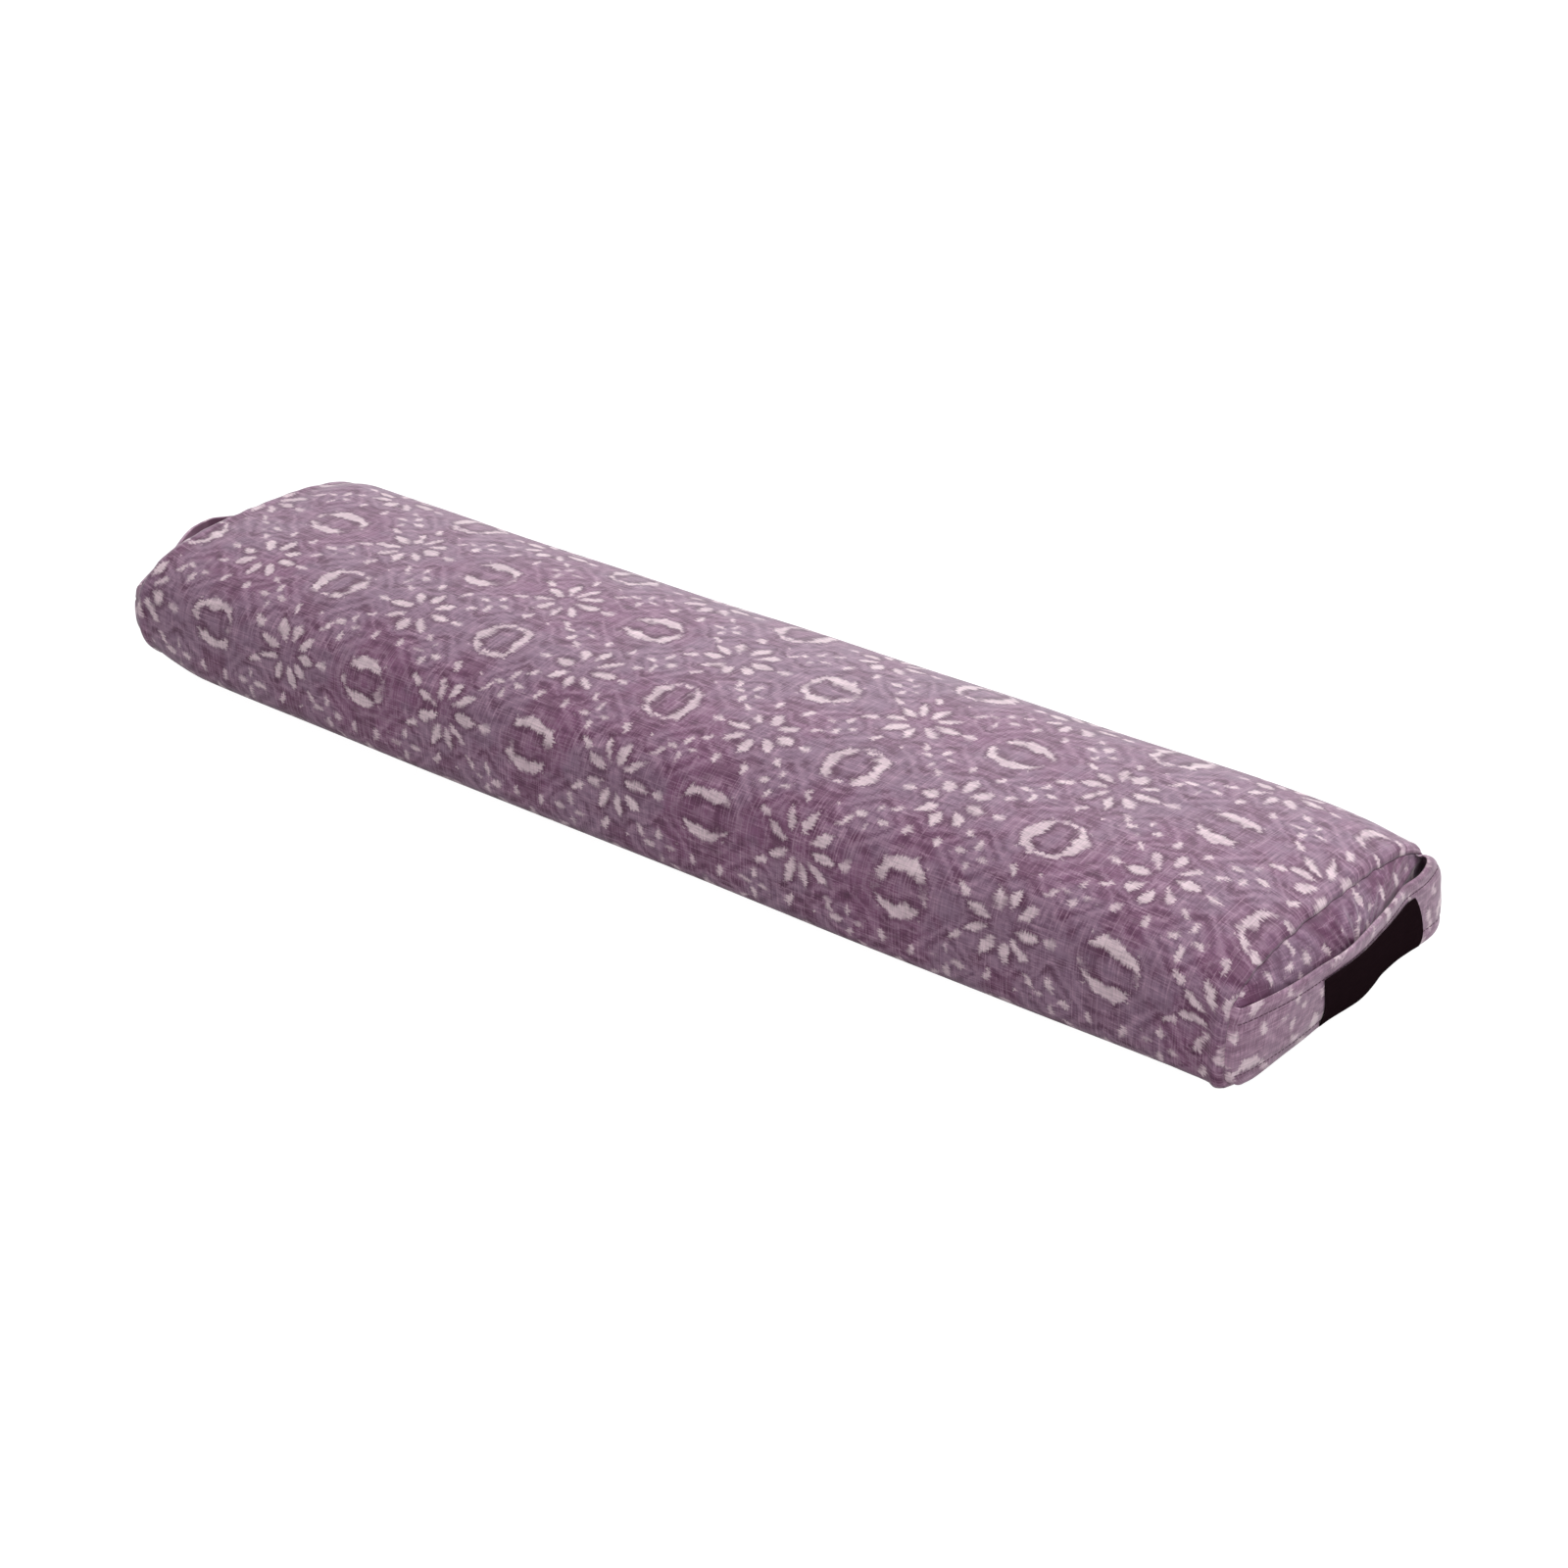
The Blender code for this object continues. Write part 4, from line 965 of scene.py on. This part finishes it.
def strap_section():
    """(share up the strap, lift) points round its folded section, with hems and stitch grooves."""
    half = STRAP_THICKNESS / 2
    rows = graded(1.0, 0.012, 0.045, both=True)
    ring = []
    for up, side in [(up, 1) for up in rows] + [(up, -1) for up in rows[-2:0:-1]]:
        height = up * STRAP_WIDTH
        from_top = STRAP_WIDTH - height
        lift = side * half
        if side > 0:
            lift += 0.00035 * hump(from_top - 0.0024, 0.0020)
            lift += 0.00030 * hump(height - 0.0022, 0.0018)
            lift -= HEM_DEPTH * hump(from_top - TOP_HEM, HEM_GROOVE_WIDTH)
            lift -= HEM_DEPTH * hump(height - BOTTOM_HEM, HEM_GROOVE_WIDTH)
        edge = min(up, 1 - up) * STRAP_WIDTH
        if edge < half:
            lift = side * half * math.sqrt(max(1 - ((half - edge) / half) ** 2, 0.0))
        ring.append((up, lift))
    return ring


def strap_wave(end, along, up_share, lift=1.0):
    """Small waves in the strap's two faces, strongest by its seams."""
    near = math.exp(-min(along, end["length"] - along) / 0.018)
    wave = math.sin(up_share * 21.0 + along * 60) * 0.00022 * near
    if lift > 0:
        crease = hump(up_share * STRAP_WIDTH - BOTTOM_HEM, HEM_GROOVE_WIDTH)
        wave -= 0.0010 * crease * math.exp(-along / 0.016)
    return wave + 0.00016 * math.sin(along * 120.0 + up_share * 3.0)


def make_strap_cover(end):
    """The folded and topstitched strap. Inside, the left one is plain dark cloth, which is painted shade."""
    ring = strap_section()
    size = len(ring)
    length = end["length"]
    alongs = graded(length, 0.0007, 0.0026, both=True)
    tail = np.array([STRAP_TAIL / 2, STRAP_TAIL])
    alongs = np.concatenate([-tail[::-1], alongs, length + tail])
    points = np.zeros((len(alongs), size, 3))
    for i, along in enumerate(alongs):
        for j, (up, lift) in enumerate(ring):
            wave = strap_wave(end, along, up, lift) if 0 < along < length else 0.0
            points[i, j] = strap_point(end, along, up, lift + wave)
    last = (len(alongs) - 1) * size
    faces = grid_faces(len(alongs), size)
    faces += [tuple(range(size))[::-1], tuple(range(last, last + size))]
    shift_u, shift_v = STRAP_PRINT_SHIFT
    places = [(a + shift_u * end["side"], up * STRAP_WIDTH + shift_v) for a in alongs for up, lift in ring]
    uvs = [places[v] for face in faces for v in face]
    name, node = f"carrying_strap_{end['name']}", f"handle_strap_{end['name']}"
    strap = make_piece(name, points, faces, STRAP_COTTON, node, uvs)
    strap.data.materials.append(STRAP_INSIDE_PAINTED_SHADE)
    # The left strap's inner faces take the plain dark cloth, which is painted shade.
    if end is LEFT:
        outer_count = sum(1 for up, lift in ring if lift >= 0)
        for polygon in strap.data.polygons[:last]:
            polygon.material_index = int(outer_count <= polygon.index % size < size - 1)


def capsule(start, finish, normal):
    """Points and faces of a thread's stitch that bulges off the cloth between two points."""
    axis = finish - start
    length = np.linalg.norm(axis)
    axis /= length
    normal = normal - axis * (normal @ axis)
    normal /= np.linalg.norm(normal)
    aside = np.cross(axis, normal)
    stops = ((0.0, 0.35, -0.5), (0.14, 0.9, 0.25), (0.5, 1.0, 0.65), (0.86, 0.9, 0.25), (1.0, 0.35, -0.5))
    sides = 6
    points = []
    for share, width, lift in stops:
        middle = start + axis * length * share + normal * THREAD * lift
        for k in range(sides):
            angle = 2 * math.pi * k / sides
            points.append(middle + THREAD * width * (math.cos(angle) * aside + math.sin(angle) * normal))
    faces = grid_faces(len(stops), sides)
    faces += [tuple(range(sides))[::-1], tuple(range((len(stops) - 1) * sides, len(stops) * sides))]
    return points, faces


def make_stitches(name, lines, start, end):
    """One piece of thread for each stitch along the given lines, from start to end. A line is a function
    of metres along it that gives a point and the way that the cloth faces there."""
    points, faces = [], []
    for line in lines:
        for k in range(int((end - start) / STITCH_PITCH)):
            from_place = start + k * STITCH_PITCH
            (a, normal), (b, other) = line(from_place), line(from_place + STITCH_LENGTH)
            more, quads = capsule(np.array(a), np.array(b), np.array(normal))
            base = len(points)
            points += more
            faces += [tuple(base + v for v in face) for face in quads]
    make_piece(name, points, faces, THREAD_LOOK)


def strap_line(end, up_share, lift):
    """The line of stitches at one height of the strap, on the face that lies at lift."""

    def line(along):
        place = strap_point(end, along, up_share, lift + strap_wave(end, along, up_share))
        beyond = strap_point(end, along, up_share, lift + 0.001)
        return place, np.array(beyond) - np.array(strap_point(end, along, up_share, lift))

    return line


def make_strap_stitching(end):
    """Stitches along both hems, outside and inside."""
    half = STRAP_THICKNESS / 2
    heights = (1 - TOP_HEM / STRAP_WIDTH, BOTTOM_HEM / STRAP_WIDTH)
    lifts = (half - HEM_DEPTH + 0.0001, -half - 0.00005)
    lines = [strap_line(end, up, lift) for up in heights for lift in lifts]
    make_stitches(f"strap_stitching_{end['name']}", lines, STITCH_MARGIN, end["length"] - STITCH_MARGIN)


# Label

LABEL_START = 0.064
LABEL_LENGTH = 0.109
LABEL_SKEW = 0.0145  # how much further along its lower edge lies, where the strap turns under
LABEL_RAISE = 0.0022  # how much higher its lower edge is at its start
LABEL_DROP = 0.0025  # how much lower its upper edge is at its far end
LABEL_WIDTH = 0.036
LABEL_THICKNESS = 0.0005
LABEL_EDGE = 0.0012
LABEL_SWELL = 0.0022  # how far its far edge bows out


def make_label_cover(end):
    """The woven label, blank, with a folded edge all round."""
    lift = STRAP_THICKNESS / 2 + 0.0006 + LABEL_THICKNESS / 2
    low, high = LABEL_EDGE / STRAP_WIDTH, (LABEL_EDGE + LABEL_WIDTH) / STRAP_WIDTH
    us = graded(1.0, 0.006, 0.022, both=True)
    vs = graded(1.0, 0.012, 0.05, both=True)
    points = np.zeros((len(us), len(vs), 3))
    for i, u in enumerate(us):
        for j, v in enumerate(vs):
            swell = LABEL_SWELL * (u * u - 0.1 * (1 - u) ** 2) * (1 - (2 * v - 1) ** 2)
            along = LABEL_START + u * LABEL_LENGTH + swell + LABEL_SKEW * (1 - v)
            up = low + (high - low) * v
            up += ((1 - v) * (1 - u) ** 3 * LABEL_RAISE - v * u**2 * LABEL_DROP) / STRAP_WIDTH
            edge = min(min(u, 1 - u) * LABEL_LENGTH, min(v, 1 - v) * LABEL_WIDTH)
            raised = 0.00010 * hump(edge - 0.0012, 0.0010) - 0.00018 * math.exp(-edge / 0.0003)
            points[i, j] = strap_point(end, along, up, lift + raised + strap_wave(end, along, up))
    faces = face_out(points, grid_faces(len(us), len(vs), closed=False), (0.0, 0.0, 0.025))
    rows, columns = np.divmod(np.array(faces), len(vs))
    uvs = np.stack([us[rows] * LABEL_LENGTH, vs[columns] * LABEL_WIDTH], -1)
    label = make_piece("woven_label", points, faces, SATIN, "strap_label", uvs)
    thicken(label, LABEL_THICKNESS, 0.0)


# Zip


def mouth_line(length):
    """The line of stitches at that length of the cloth, along the zip's mouth."""

    def line(along):
        x = along - MOUTH_HALF_LENGTH
        y, z = even_ring(x, -0.00002, [length / CLOTH_WIDTH])
        return (x, y[0] + 0.00005, z[0]), (0.0, 1.0, 0.0)

    return line


def make_mouth_stitching():
    reach = MOUTH / 2 + MOUTH_HEM
    lines = (mouth_line(reach), mouth_line(CLOTH_WIDTH - reach))
    make_stitches("zip_stitching", lines, 0.0, 2 * MOUTH_HALF_LENGTH)


def make_coil(name, side, node):
    """One side of the zip's coil: a row of flattened loops whose heads meet those of the other side."""
    low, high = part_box(node)
    head, heel = (low.z, high.z) if side > 0 else (high.z, low.z)
    inner, outer = low.y + COIL_WIRE, high.y - COIL_WIRE
    start = low.x + COIL_PITCH / (2 if side > 0 else 4)
    loops = int((high.x - low.x - COIL_PITCH) / COIL_PITCH)
    turns = ((0.0, heel, inner), (0.25, head, inner), (0.40, head, outer), (0.60, heel, outer))
    data = bpy.data.curves.new(name, "CURVE")
    data.dimensions = "3D"
    data.bevel_depth = COIL_WIRE
    data.bevel_resolution = 1
    data.use_fill_caps = True
    places = []
    for k in range(loops):
        for share, z, y in turns:
            inward = COIL_WIRE if z == head else -COIL_WIRE
            places.append((start + (k + share) * COIL_PITCH, y, z + inward * side))
    spline = data.splines.new("POLY")
    spline.points.add(len(places) - 1)
    for point, place in zip(spline.points, places):
        point.co = (*place, 1.0)
    data.materials.append(COIL_LOOK)
    curve = new_object(name, data)
    graph = bpy.context.evaluated_depsgraph_get()
    mesh = bpy.data.meshes.new_from_object(curve.evaluated_get(graph))
    bpy.data.objects.remove(curve)
    mesh.name = name
    new_piece(name, mesh, node)


def dress_cad_nodes():
    """Finishes for the CAD solids that show as they are."""
    looks = {"zip_tape": TAPE_LOOK, "zip_stop": NICKEL, "zip_slider": NICKEL, "zip_pull": NICKEL}
    for name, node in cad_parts.items():
        for start, look in looks.items():
            if name.startswith(start):
                node.data.materials.clear()
                node.data.materials.append(look)


# Stage


def make_camera():
    right, up = Vector(CAMERA_RIGHT), Vector(CAMERA_UP)
    axes = Matrix((right, up, right.cross(up))).transposed()
    data = bpy.data.cameras.new("camera")
    data.lens = CAMERA_LENS
    data.sensor_width = SENSOR
    camera = new_object("camera", data)
    camera.matrix_world = Matrix.Translation(CAMERA_PLACE) @ axes.to_4x4()
    bpy.context.scene.camera = camera


def make_floor():
    """A plain white floor that keeps a faint shadow."""
    corners = [(x * FLOOR_HALF, y * FLOOR_HALF, 0) for x, y in ((-1, -1), (1, -1), (1, 1), (-1, 1))]
    mesh = bpy.data.meshes.new("floor")
    mesh.from_pydata(corners, [], [(0, 1, 2, 3)])
    floor = new_object("floor", mesh)
    floor.location.z = -FLOOR_DROP
    graph = Graph("floor")
    mesh.materials.append(graph.finish((0.80, 0.80, 0.80), 0.9, Specular_IOR_Level=0.0))
    glow = graph.add("ShaderNodeEmission")
    glow.inputs["Strength"].default_value = FLOOR_GLOW
    x, y, z = graph.object_place()
    far = graph.step(graph.math("SQRT", x * x + y * y), 700.0, 2500.0)
    both = graph.add("ShaderNodeMixShader")
    graph.feed(both.inputs[0], graph.light_path("Is Camera Ray") * (far * 0.22 + 0.78))
    graph.feed(both.inputs[1], graph.shader.outputs[0])
    graph.feed(both.inputs[2], glow.outputs[0])
    graph.feed(graph.tree.nodes["Material Output"].inputs["Surface"], both.outputs[0])


def make_lamp(name, place, target, size, power, colour=(1.0, 1.0, 1.0)):
    data = bpy.data.lights.new(name, "AREA")
    data.shape = "RECTANGLE"
    data.size, data.size_y = size
    data.energy = power
    data.color = colour
    lamp = new_object(name, data)
    lamp.location = place
    lamp.rotation_mode = "QUATERNION"
    lamp.rotation_quaternion = (Vector(target) - Vector(place)).to_track_quat("-Z", "Y")


def make_light():
    """Four soft lamps, in a dim room that looks white."""
    graph = Graph("studio", world=True)
    seen = graph.high(graph.light_path("Is Camera Ray"), graph.light_path("Is Glossy Ray"))
    graph.feed(graph.shader.inputs["Color"], (1.0, 1.0, 1.0))
    graph.feed(graph.shader.inputs["Strength"], seen * (1.0 - ROOM_LIGHT) + ROOM_LIGHT)
    bpy.context.scene.world = graph.owner
    make_lamp("overhead", (0.5, 1.0, 2.3), (0.1, 0, 0), (2.4, 1.8), 38.0)
    make_lamp("front", (0.2, -2.6, 1.0), (0, 0, 0.04), (2.2, 1.2), 5.0, (1.0, 0.86, 0.90))
    make_lamp("back", (-0.7, 2.3, 1.25), (0, 0, 0.05), (2.6, 1.2), 26.0, (0.97, 0.98, 1.0))
    make_lamp("right", (2.7, -1.3, 1.5), (0, 0, 0), (1.6, 1.2), 10.5, (0.97, 0.96, 1.0))


make_camera()
make_light()
make_floor()
make_cover_wrap()
make_inner_case()
make_batting()
for cover_end in (RIGHT, LEFT):
    make_end_cover(cover_end)
    make_strap_cover(cover_end)
    make_strap_stitching(cover_end)
make_label_cover(RIGHT)
make_mouth_stitching()
make_coil("coil_teeth_upper", 1, "zip_coil_upper")
make_coil("coil_teeth_lower", -1, "zip_coil_lower")
dress_cad_nodes()
bpy.context.scene.view_settings.view_transform = "Standard"

bpy.context.view_layer.update()
